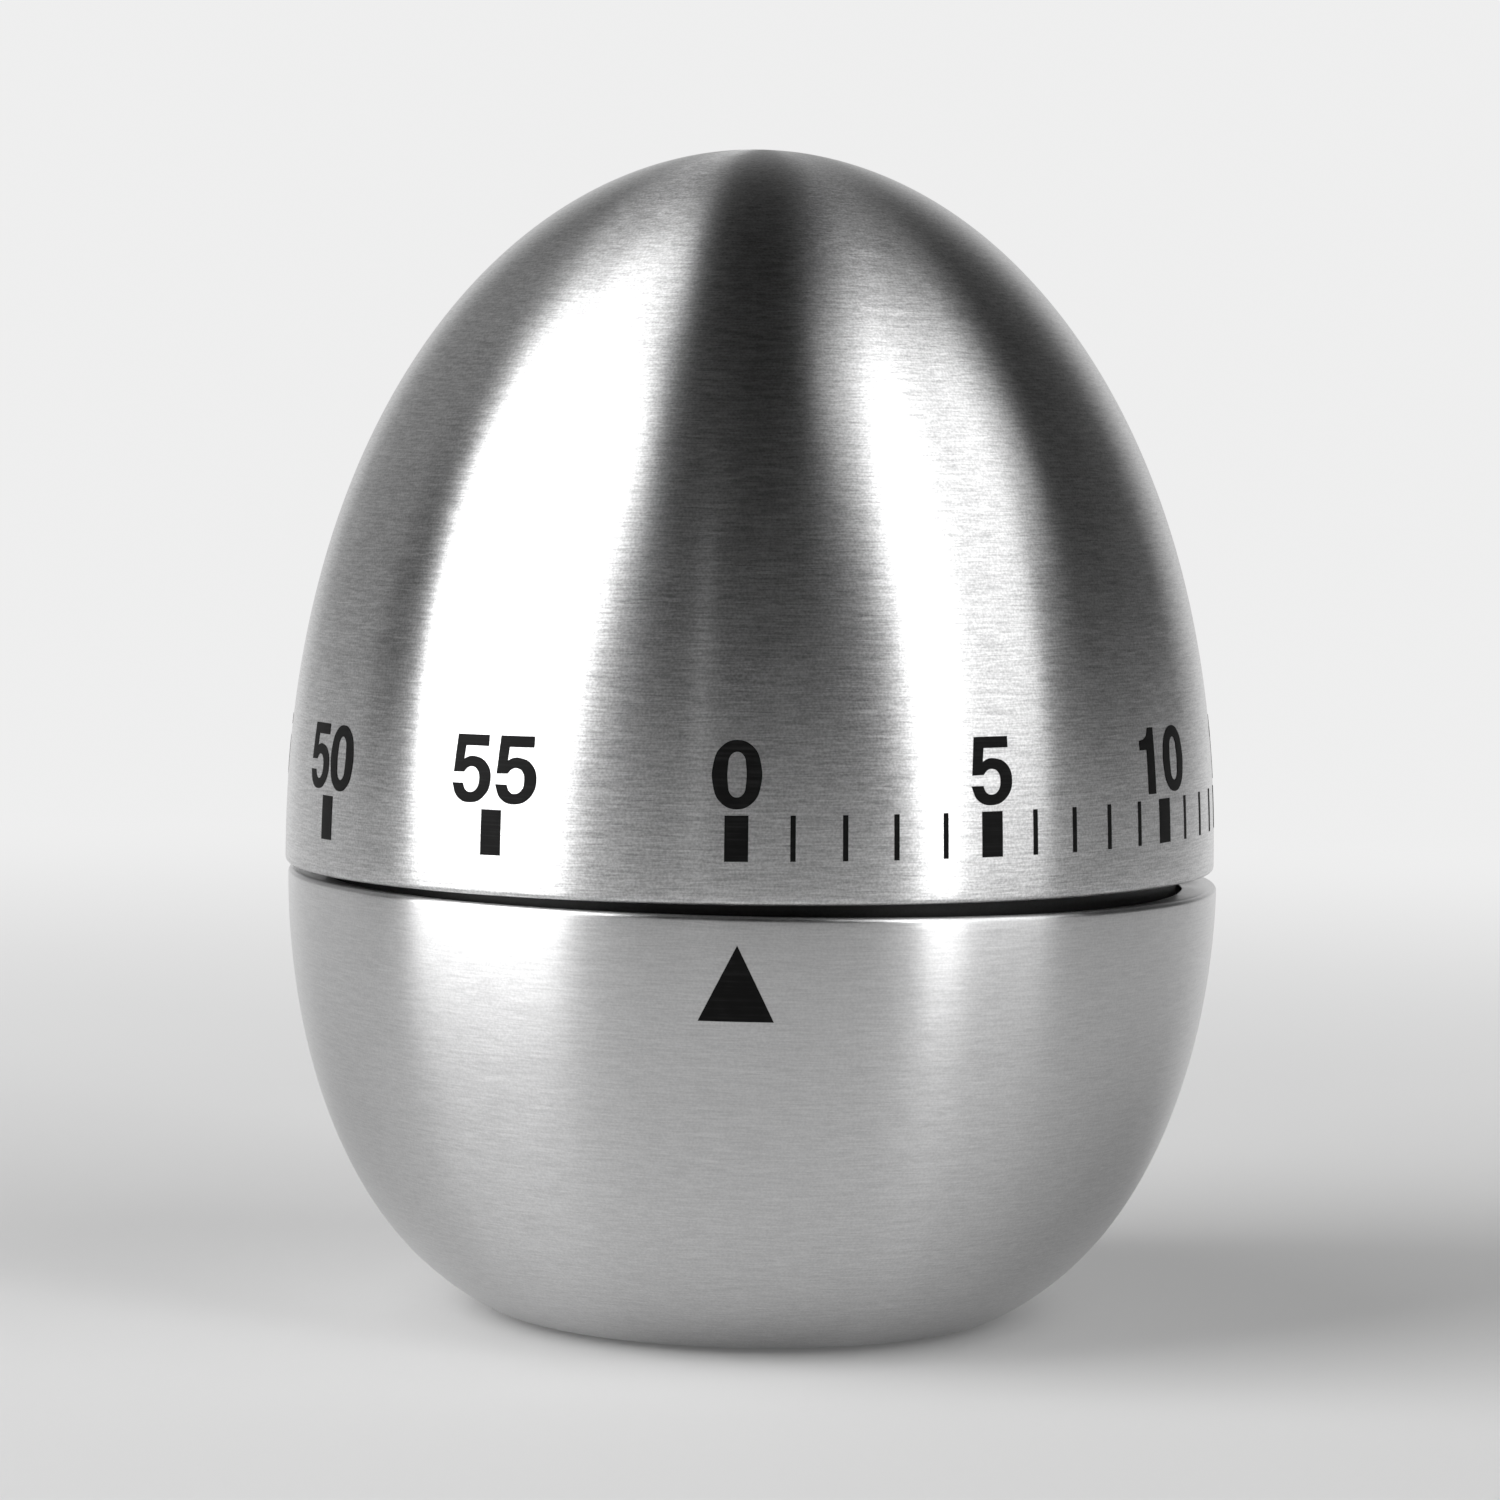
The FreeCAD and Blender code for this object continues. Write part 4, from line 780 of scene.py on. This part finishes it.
def flat_shape(contours: Iterable[Contour], height: float, shift: Pair = (0.0, 0.0)) -> bmesh.types.BMesh:
    """Filled flat shape from outlines, as a mesh.

    Args:
        contours: outer and inner outlines on a height of 1.
        height: real height.
        shift: where the lower left corner goes.

    Returns:
        The shape in the XY plane.
    """
    curve = bpy.data.curves.new("outline", "CURVE")
    curve.dimensions = "2D"
    curve.fill_mode = "BOTH"
    curve.resolution_u = CURVE_STEPS
    for contour in contours:
        spline = curve.splines.new("BEZIER")
        spline.bezier_points.add(len(contour) - 1)
        spline.use_cyclic_u = True
        for point, (x, y, turn) in zip(spline.bezier_points, contour):
            point.co = (x * height + shift[0], y * height + shift[1], 0)
            point.handle_left_type = turn.value
            point.handle_right_type = turn.value
    holder = bpy.data.objects.new("outline", curve)
    bpy.context.scene.collection.objects.link(holder)
    bpy.context.view_layer.update()
    data = bpy.data.meshes.new_from_object(holder.evaluated_get(bpy.context.evaluated_depsgraph_get()))
    shape = bmesh.new()
    shape.from_mesh(data)
    bpy.data.objects.remove(holder)
    bpy.data.curves.remove(curve)
    bpy.data.meshes.remove(data)
    bmesh.ops.remove_doubles(shape, verts=shape.verts[:], dist=SAME)
    return shape


def thickened(shape: bmesh.types.BMesh, thickness: float, cell: float) -> bmesh.types.BMesh:
    """Cut a flat shape into a grid, so that it bends smoothly, and give it a thickness.

    Args:
        shape: flat shape in the XY plane, changed in place.
        thickness: thickness along Z.
        cell: about the size of a cell of the grid.

    Returns:
        The same bmesh.
    """
    for way in (Vector((1, 0, 0)), Vector((0, 1, 0))):
        places = [vert.co.dot(way) for vert in shape.verts]
        low, high = min(places), max(places)
        cuts = max(int((high - low) / cell), 1)
        for k in range(1, cuts + 1):
            bmesh.ops.bisect_plane(shape, geom=shape.verts[:] + shape.edges[:] + shape.faces[:], dist=SHORT,
                                   plane_co=way * (low + (high - low) * k / (cuts + 1)), plane_no=way)
    bmesh.ops.remove_doubles(shape, verts=shape.verts[:], dist=SLIVER)
    top = bmesh.ops.extrude_face_region(shape, geom=shape.faces[:])
    lift(shape, top["geom"], thickness)
    bmesh.ops.recalc_face_normals(shape, faces=shape.faces[:])
    return shape


@dataclass
class Printing:
    """Ink on the shells: minute numbers, marks and ticks on the dome, and the pointer on the bowl."""

    digit_height: float = 4.08 * MM
    digit_low: float = 34.93 * MM
    digit_gap: float = 0.30 * MM
    mark_low: float = 31.85 * MM
    mark_height: float = 2.72 * MM
    mark_width: float = 1.42 * MM
    tick_width: float = 0.32 * MM
    ticks: int = 15
    pointer_low: float = 22.23 * MM
    pointer_height: float = 4.56 * MM
    pointer_width: float = 4.58 * MM
    twist: float = 0.5  # degrees between the minute marks and the pointer
    zero_slip: float = 0.4  # degrees by which the zero is printed early
    climb: float = 0.28 * MM  # by which the printing on the dial rises towards +X
    ink: float = 0.035 * MM
    sunk: float = 0.012 * MM
    cell: float = 0.35 * MM

    def wrap(self, shape: bmesh.types.BMesh, radius_at: Callable[[float], float], minute: float,
             turn: float, climb: float) -> None:
        """Bend a flat shape round a shell.

        Args:
            shape: X is along the shell from the minute's line, Y is height, Z is thickness.
            radius_at: the shell's outer radius at a height.
            minute: the minute's line.
            turn: further turn in degrees.
            climb: rise towards +X.
        """
        start = math.radians(minute * MINUTE_TURN + turn - 90)
        for vert in shape.verts:
            angle = start + vert.co.x / EGG_RADIUS
            height = vert.co.y + climb * math.cos(angle)
            radius = radius_at(height) + vert.co.z - self.sunk
            vert.co = (radius * math.cos(angle), radius * math.sin(angle), height)

    def bar(self, width: float) -> bmesh.types.BMesh:
        """Flat upright bar of one mark.

        Args:
            width: the bar's width.

        Returns:
            The bar.
        """
        half = width / 2 / self.mark_height
        box = [(-half, 0.0, S), (half, 0.0, S), (half, 1.0, S), (-half, 1.0, S)]
        return flat_shape([box], self.mark_height, (0.0, self.mark_low))

    def number(self, text: str) -> list[bmesh.types.BMesh]:
        """Flat digits of a number, centred.

        Args:
            text: one or two digits.

        Returns:
            One flat shape for each digit.
        """
        width = DIGIT_WIDTH * self.digit_height
        whole = width * len(text) + self.digit_gap * (len(text) - 1)
        return [flat_shape(DIGITS[digit], self.digit_height,
                           (k * (width + self.digit_gap) - whole / 2, self.digit_low))
                for k, digit in enumerate(text)]

    def placed(self, shape: bmesh.types.BMesh, dome: UpperShell, minute: int) -> bmesh.types.BMesh:
        """Put a flat shape on the dome as ink.

        Args:
            shape: the flat shape, changed in place.
            dome: the shell that carries it.
            minute: its minute.

        Returns:
            The same bmesh.
        """
        turn = self.twist - self.zero_slip * (minute == 0)
        self.wrap(thickened(shape, self.ink, self.cell), dome.radius_at, minute, turn, self.climb)
        shape.transform(dome.seat())
        return shape

    def joined(self, name: str, shapes: Iterable[bmesh.types.BMesh], finish: Finish) -> bpy.types.Object:
        """Join wrapped shapes into one printed piece.

        Args:
            name: the piece's name.
            shapes: the wrapped shapes, freed here.
            finish: the ink.

        Returns:
            The piece.
        """
        whole = bmesh.new()
        for shape in shapes:
            data = bpy.data.meshes.new("part")
            shape.to_mesh(data)
            shape.free()
            whole.from_mesh(data)
            bpy.data.meshes.remove(data)
        return new_piece(name, whole, finish, smooth=False)

    def build(self, dome: UpperShell, bowl: LowerShell, ink: Finish) -> list[bpy.types.Object]:
        """Print the dial and the pointer.

        Args:
            dome: the shell that carries the numbers.
            bowl: the shell that carries the pointer.
            ink: the ink's finish.

        Returns:
            The printed pieces.
        """
        marks, numbers = [], []
        for minute in range(HOUR):
            numbered = minute % NUMBERED == 0
            if numbered:
                numbers += [self.placed(shape, dome, minute) for shape in self.number(str(minute))]
            if numbered or minute < self.ticks:
                bar = self.bar(self.mark_width if numbered else self.tick_width)
                marks.append(self.placed(bar, dome, minute))
        half = self.pointer_width / 2 / self.pointer_height
        triangle = [(-half, 0.0, S), (half, 0.0, S), (0.0, 1.0, S)]
        pointer = flat_shape([triangle], self.pointer_height, (0.0, self.pointer_low))
        self.wrap(thickened(pointer, self.ink, self.cell), bowl.radius_at, 0, 0.0, 0.0)
        pieces = [self.joined("minute_marks", marks, ink), self.joined("minute_numbers", numbers, ink)]
        for piece in pieces:
            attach(piece, "dial")
        pieces.append(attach(self.joined("pointer", [pointer], ink), "case"))
        return pieces


# ---------------------------------------------------------------- foot
@dataclass
class Foot:
    """Moulded rubber foot with ringed grip and a pocket round each screw."""

    middle: float = 0.9 * MM
    rings: int = 7
    first_groove: float = 1.4 * MM
    rim: float = 1.3 * MM
    groove: float = 0.28 * MM
    groove_width: float = 0.55 * MM
    groove_slope: float = 0.15 * MM
    chamfer: float = 0.3 * MM
    steps: int = 192
    screw_circle: float = 9.5 * MM
    screws: int = 3
    pocket: float = 2.3 * MM
    pocket_reach: float = 3 * MM  # up and down from the foot's lower face
    pocket_steps: int = 48
    low: Vector = field(default_factory=lambda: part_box("base_pad")[0])
    high: Vector = field(default_factory=lambda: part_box("base_pad")[1])

    def outline(self) -> list[Pair]:
        """Closed section with grooves under it.

        Returns:
            (radius, height) points.
        """
        radius, base, bed = self.high.x, self.low.z, self.low.z + self.groove
        points = [(0.0, base), (self.middle, base)]
        pitch = (radius - self.rim - self.first_groove) / self.rings
        for k in range(self.rings):
            start = self.first_groove + k * pitch
            end = start + self.groove_width
            points += [(start, base), (start + self.groove_slope, bed)]
            points += [(end, bed), (end + self.groove_slope, base)]
        points += [(radius - self.chamfer, base), (radius, base + self.chamfer), (radius, self.high.z)]
        return points + [(0.0, self.high.z)]

    def build(self, finish: Finish) -> bpy.types.Object:
        """Make the foot in the place of its CAD node.

        Args:
            finish: the rubber.

        Returns:
            The foot.
        """
        pad = new_piece("rubber_foot", revolved(self.outline(), self.steps), finish, smooth=False)
        cutters = bmesh.new()
        for k in range(self.screws):
            angle = math.radians(90 + 360 / self.screws * k)
            across, along = self.screw_circle * math.cos(angle), self.screw_circle * math.sin(angle)
            bmesh.ops.create_cone(cutters, cap_ends=True, segments=self.pocket_steps, radius1=self.pocket,
                                  radius2=self.pocket, depth=2 * self.pocket_reach,
                                  matrix=Matrix.Translation((across, along, self.low.z)))
        tool = new_piece("pocket_cutter", cutters, finish, smooth=False)
        cut = pad.modifiers.new("pockets", "BOOLEAN")
        cut.object = tool
        cut.operation = "DIFFERENCE"
        cut.solver = "EXACT"
        data = bpy.data.meshes.new_from_object(pad.evaluated_get(bpy.context.evaluated_depsgraph_get()))
        pad.modifiers.clear()
        clean = bmesh.new()
        clean.from_mesh(data)
        bmesh.ops.remove_doubles(clean, verts=clean.verts[:], dist=SLIVER)
        bmesh.ops.dissolve_degenerate(clean, edges=clean.edges[:], dist=SLIVER)
        clean.to_mesh(data)
        clean.free()
        pad.data = data
        bpy.data.objects.remove(tool)
        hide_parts("base_pad")
        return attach(pad, "case")


# ---------------------------------------------------------------- hammer spring
@dataclass
class HammerSpring:
    """Blued leaf with an eye round its post."""

    thickness: float = 0.16 * MM
    eye: float = 0.69 * MM  # radius of the eye's middle line
    eye_turn: float = 300.0  # degrees of the eye
    bow: float = 0.10 * MM
    cuts: int = 24
    low: Vector = field(default_factory=lambda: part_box("hammer_spring")[0])
    high: Vector = field(default_factory=lambda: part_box("hammer_spring")[1])
    post: tuple[Vector, Vector] = field(default_factory=lambda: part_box("hammer_spring_post"))

    def ends(self) -> tuple[Vector, Vector]:
        """Find the post's axis and the leaf's tip.

        Returns:
            Both points, at the height of the leaf's lower edge.
        """
        axis = (self.post[0] + self.post[1]) / 2
        axis.z = self.low.z
        inset = self.thickness / 2
        across = [self.low.x + inset, self.high.x - inset]
        along = [self.low.y + inset, self.high.y - inset]
        tip = Vector((max(across, key=lambda x: abs(x - axis.x)), max(along, key=lambda y: abs(y - axis.y)),
                      self.low.z))
        return axis, tip

    def path(self) -> list[Vector]:
        """Middle line of the leaf, from the end of its eye to its tip.

        Returns:
            The line's points, at the height of the leaf's lower edge.
        """
        axis, tip = self.ends()
        way = (tip - axis).normalized()
        side = Vector((-way.y, way.x, 0))
        points = []
        for k in range(self.cuts + 1):
            angle = math.radians(self.eye_turn * (1 - k / self.cuts))
            points.append(axis + self.eye * (way * math.sin(-angle) + side * math.cos(angle)))
        start = points[-1]
        for k in range(1, self.cuts + 1):
            share = k / self.cuts
            points.append(start.lerp(tip, share) + side * (self.bow * math.sin(math.pi * share)))
        return points

    def build(self, finish: Finish) -> bpy.types.Object:
        """Make the spring in the place of its CAD node.

        Args:
            finish: its surface finish.

        Returns:
            The spring.
        """
        mesh = bmesh.new()
        verts = [mesh.verts.new(point) for point in self.path()]
        edges = [mesh.edges.new(pair) for pair in zip(verts, verts[1:])]
        upper = bmesh.ops.extrude_edge_only(mesh, edges=edges)
        lift(mesh, upper["geom"], self.high.z - self.low.z)
        bmesh.ops.recalc_face_normals(mesh, faces=mesh.faces[:])
        mesh.normal_update()
        for vert, way in [(vert, vert.normal.copy()) for vert in mesh.verts]:
            vert.co -= way * (self.thickness / 2)
        bmesh.ops.solidify(mesh, geom=mesh.faces[:], thickness=-self.thickness)
        bmesh.ops.recalc_face_normals(mesh, faces=mesh.faces[:])
        leaf = new_piece("hammer_leaf_spring", mesh, finish, smooth=False)
        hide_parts("hammer_spring")
        axis, tip = self.ends()
        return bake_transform(leaf)


# ---------------------------------------------------------------- movement
class Metal(Enum):
    """Bright colour, dull colour, smoothness, and the pitch of the rings where the metal is turned."""

    PLATED = (0.55, 0.55, 0.56), (0.42, 0.43, 0.45), 0.30
    TUMBLED = (0.45, 0.45, 0.46), (0.30, 0.30, 0.31), 0.34
    HARDENED = (0.46, 0.46, 0.47), (0.31, 0.31, 0.32), 0.26, 0.12 * MM
    BRASS = (0.78, 0.57, 0.22), (0.55, 0.36, 0.13), 0.25, 0.20 * MM
    TURNED = (0.58, 0.58, 0.59), (0.40, 0.40, 0.41), 0.20, 0.12 * MM
    ZINC = (0.56, 0.57, 0.60), (0.44, 0.45, 0.48), 0.26, 0.12 * MM
    NICKEL = (0.72, 0.70, 0.66), (0.60, 0.58, 0.55), 0.12, 0.12 * MM


@dataclass
class Movement:
    """The clockwork and its moulded cup: CAD nodes, each with its own finish."""

    rolled: tuple[tuple[Metal, str], ...] = (
        (Metal.PLATED, "bottom_plate top_plate barrel_cover release_lever hammer_arm stop_arm"),
        (Metal.TUMBLED, "click pallet_lever hammer_pallet"),
    )
    turned: tuple[tuple[Metal, str], ...] = (
        (Metal.HARDENED, "ratchet_wheel escape_wheel release_cam star_wheel"),
        (Metal.BRASS, "great_wheel second_wheel third_wheel barrel balance_wheel hairspring_collet "
                      "hammer_head"),
        (Metal.TURNED, "pillars winding_arbor second_pinion third_pinion escape_pinion strike_pinion "
                       "pallet_arbor pallet_pins balance_staff impulse_pin hammer_arbor lever_post lock_pin "
                       "stop_pin hammer_spring_post hairspring_stud click_rivet"),
        (Metal.ZINC, "base_screws pillar_screws movement_screws bell_screw"),
        (Metal.NICKEL, "bell"),
    )
    springs: str = "mainspring hairspring click_spring lever_spring"
    moulded: str = "movement_cup dial_insert"

    def middle(self, node: str) -> Pair:
        """Plan centre of a CAD node."""
        low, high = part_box(node)
        return (low.x + high.x) / 2, (low.y + high.y) / 2

    def finishes(self) -> dict[str, Finish]:
        """Choose a finish for each node.

        Returns:
            Finish by node.
        """
        chosen: dict[str, Finish] = {}
        for metal, nodes in self.rolled:
            for node in nodes.split():
                chosen[node] = RolledSheet(f"{node}_{metal.name.lower()}", *metal.value)
        for metal, nodes in self.turned:
            for node in nodes.split():
                chosen[node] = TurnedMetal(f"{node}_{metal.name.lower()}", *metal.value, self.middle(node))
        for node in self.springs.split():
            chosen[node] = BluedSpring(f"{node}_blued")
        for node in self.moulded.split():
            chosen[node] = MouldedPlastic(f"{node}_plastic")
        return chosen

    def dress(self) -> int:
        """Put its finish on each CAD node.

        Returns:
            How many nodes were dressed.
        """
        chosen = self.finishes()
        for node, finish in chosen.items():
            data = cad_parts[node].data
            data.materials.clear()
            data.materials.append(finish.material())
        return len(chosen)


# ---------------------------------------------------------------- studio
@dataclass(frozen=True)
class StudioFloor(Finish):
    """Pale painted floor, which passes into an evenly glowing backdrop away from the egg."""

    colour: Colour = (0.58, 0.58, 0.58)
    second: Colour = (0.55, 0.55, 0.55)
    far_colour: Colour = (0.0, 0.0, 0.0)
    glow_near: Colour = (0.08, 0.08, 0.08)
    glow_far: Colour = (0.86, 0.86, 0.86)
    near: float = 0.10  # distance at which the floor begins to pass into the backdrop
    far: float = 0.48  # distance at which nothing of the floor is left
    patches: float = 6.0
    patching: Pair = (0.3, 0.7)  # noise of the first and of the second colour

    def paint(self, graph: Graph) -> None:
        """Add the nodes of the floor, which measure its distances from a point in front of the egg.

        Args:
            graph: the material's graph.
        """
        x, y, _ = graph.parts(graph.place())
        back = y + self.near
        away = ((x * x + back * back) ** 0.5).above(self.near, self.far)
        patch = graph.cells(self.patches, 3.0).above(*self.patching)
        graph.principled(
            colour=graph.blend(away, graph.blend(patch, self.colour, self.second), self.far_colour),
            roughness=0.65,
            specular=0.0,
            glow=graph.blend(away, self.glow_near, self.glow_far),
            glow_strength=1.0,
        )


@dataclass
class SoftLight:
    """Upright soft box, aimed at the egg."""

    name: str
    bearing: float  # degrees to the right of the camera's direction, seen from the egg
    distance: float
    height: float
    size: Pair
    power: float

    def build(self, aim: Vector, camera_turn: float) -> bpy.types.Object:
        """Make the light.

        Args:
            aim: point that it faces.
            camera_turn: the camera's turn to the right of -Y, in degrees.

        Returns:
            The light.
        """
        data = bpy.data.lights.new(self.name, "AREA")
        data.shape = "RECTANGLE"
        data.size, data.size_y = self.size
        data.energy = self.power
        light = bpy.data.objects.new(self.name, data)
        bpy.context.scene.collection.objects.link(light)
        angle = math.radians(self.bearing + camera_turn - 90)
        light.location = (self.distance * math.cos(angle), self.distance * math.sin(angle), self.height)
        light.rotation_euler = (aim - light.location).to_track_quat("-Z", "Y").to_euler()
        light.visible_camera = False
        return light


@dataclass
class Studio:
    """Camera, floor, soft lights and surrounding."""

    distance: float = 315.7 * MM
    elevation: float = 3.70
    turn: float = 1.6
    roll: float = 1.25
    aim_height: float = 36.40 * MM
    aim_side: float = -0.33 * MM
    lens: float = 116.85
    sensor: float = 36.0
    nearest: float = 0.01
    floor_radius: float = 3.0
    floor_steps: int = 96
    backdrop: Colour = (0.86, 0.86, 0.86)
    room: tuple[Pair, ...] = ((0.60, 0.012), (0.86, 0.07), (0.97, 0.70))  # place, from the front, and grey
    lights: tuple[SoftLight, ...] = (
        SoftLight("left_box", -67.0, 0.9, 0.42, (0.82, 1.15), 17.0),
        SoftLight("left_high_box", -90.0, 0.53, 1.20, (0.36, 0.43), 1.4),
        SoftLight("left_back_box", -126.0, 0.9, 0.45, (0.60, 1.10), 0.5),
        SoftLight("right_box", 58.0, 0.9, 0.55, (0.74, 1.45), 5.8),
        SoftLight("right_high_box", 87.0, 0.85, 0.75, (0.28, 0.50), 0.65),
        SoftLight("faint_strip", -12.6, 0.9, 0.30, (0.03, 0.50), 0.03),
        SoftLight("right_strip", 46.5, 0.8, 0.35, (0.14, 1.00), 1.9),
    )

    def camera(self) -> bpy.types.Object:
        """Place the camera.

        Returns:
            The camera.
        """
        data = bpy.data.cameras.new("camera")
        data.lens = self.lens
        data.sensor_width = self.sensor
        data.clip_start = self.nearest
        camera = bpy.data.objects.new("camera", data)
        bpy.context.scene.collection.objects.link(camera)
        rise, side = math.radians(self.elevation), math.radians(self.turn - 90)
        away = Vector((math.cos(side) * math.cos(rise), math.sin(side) * math.cos(rise), math.sin(rise)))
        aim = Vector((self.aim_side, 0, self.aim_height))
        camera.location = aim + away * self.distance
        facing = (-away).to_track_quat("-Z", "Y").to_matrix()
        camera.rotation_euler = (facing @ Matrix.Rotation(math.radians(self.roll), 3, "Z")).to_euler()
        bpy.context.scene.camera = camera
        return camera

    def floor(self) -> bpy.types.Object:
        """Make the floor.

        Returns:
            The floor.
        """
        mesh = bmesh.new()
        bmesh.ops.create_circle(mesh, cap_ends=True, segments=self.floor_steps, radius=self.floor_radius)
        floor = new_piece("studio_floor", mesh, StudioFloor("floor_paint"), smooth=False)
        return floor

    def surround(self) -> None:
        """Pale to the camera, and for reflections a room that is dark in front and grey at the back."""
        world = bpy.data.worlds.new("studio")
        bpy.context.scene.world = world
        graph = Graph(world)
        _, back, _ = graph.parts(graph.node("ShaderNodeTexCoord").outputs["Generated"])
        ramp = graph.node("ShaderNodeValToRGB", {"stops": self.room}, {0: (back + 1) * 0.5})
        room = graph.node("ShaderNodeBackground", None, {0: ramp.outputs[0]})
        pale = graph.node("ShaderNodeBackground", None, {0: self.backdrop})
        seen = graph.node("ShaderNodeLightPath").outputs["Is Camera Ray"]
        chosen = graph.node("ShaderNodeMixShader", None, {0: seen, 1: room.outputs[0], 2: pale.outputs[0]})
        graph.node("ShaderNodeOutputWorld", None, {0: chosen.outputs[0]})

    def build(self) -> None:
        """Make the whole studio."""
        self.camera()
        self.floor()
        self.surround()
        for light in self.lights:
            light.build(Vector((0, 0, self.aim_height)), self.turn)
        view = bpy.context.scene.view_settings
        view.view_transform = "Standard"
        view.look = "None"


# ---------------------------------------------------------------- the whole timer
def main() -> None:
    """Build each sub-assembly in order and report it."""
    logging.basicConfig(level=logging.INFO, format="%(name)s: %(message)s")
    Studio().build()
    log.info("studio ready")
    dome, bowl = UpperShell(), LowerShell()
    # The dome's copy of the spun steel sets its dark and pale brush lines further apart than the bowl's. This
    # is partly the brushing's own tone and partly painted reflection: it stands in for the stronger streaks
    # that light scattered off the brush lines shows in the dome's dark band.
    dome_steel_with_painted_streaks = SpunSteel("dome_steel", colour=(0.29, 0.29, 0.295), pale=(0.79, 0.79, 0.79))
    pieces = [dome.build(dome_steel_with_painted_streaks), bowl.build(SpunSteel("bowl_steel"))]
    pieces += Printing().build(dome, bowl, PrintingInk("printing_ink"))
    pieces.append(Foot().build(FootRubber("foot_rubber")))
    pieces.append(HammerSpring().build(BluedSpring("hammer_spring_blued")))
    for piece in pieces:
        log.info("%s: %d faces", piece.name, len(piece.data.polygons))
    log.info("movement: %d nodes dressed", Movement().dress())


if __name__ == "__main__":
    main()
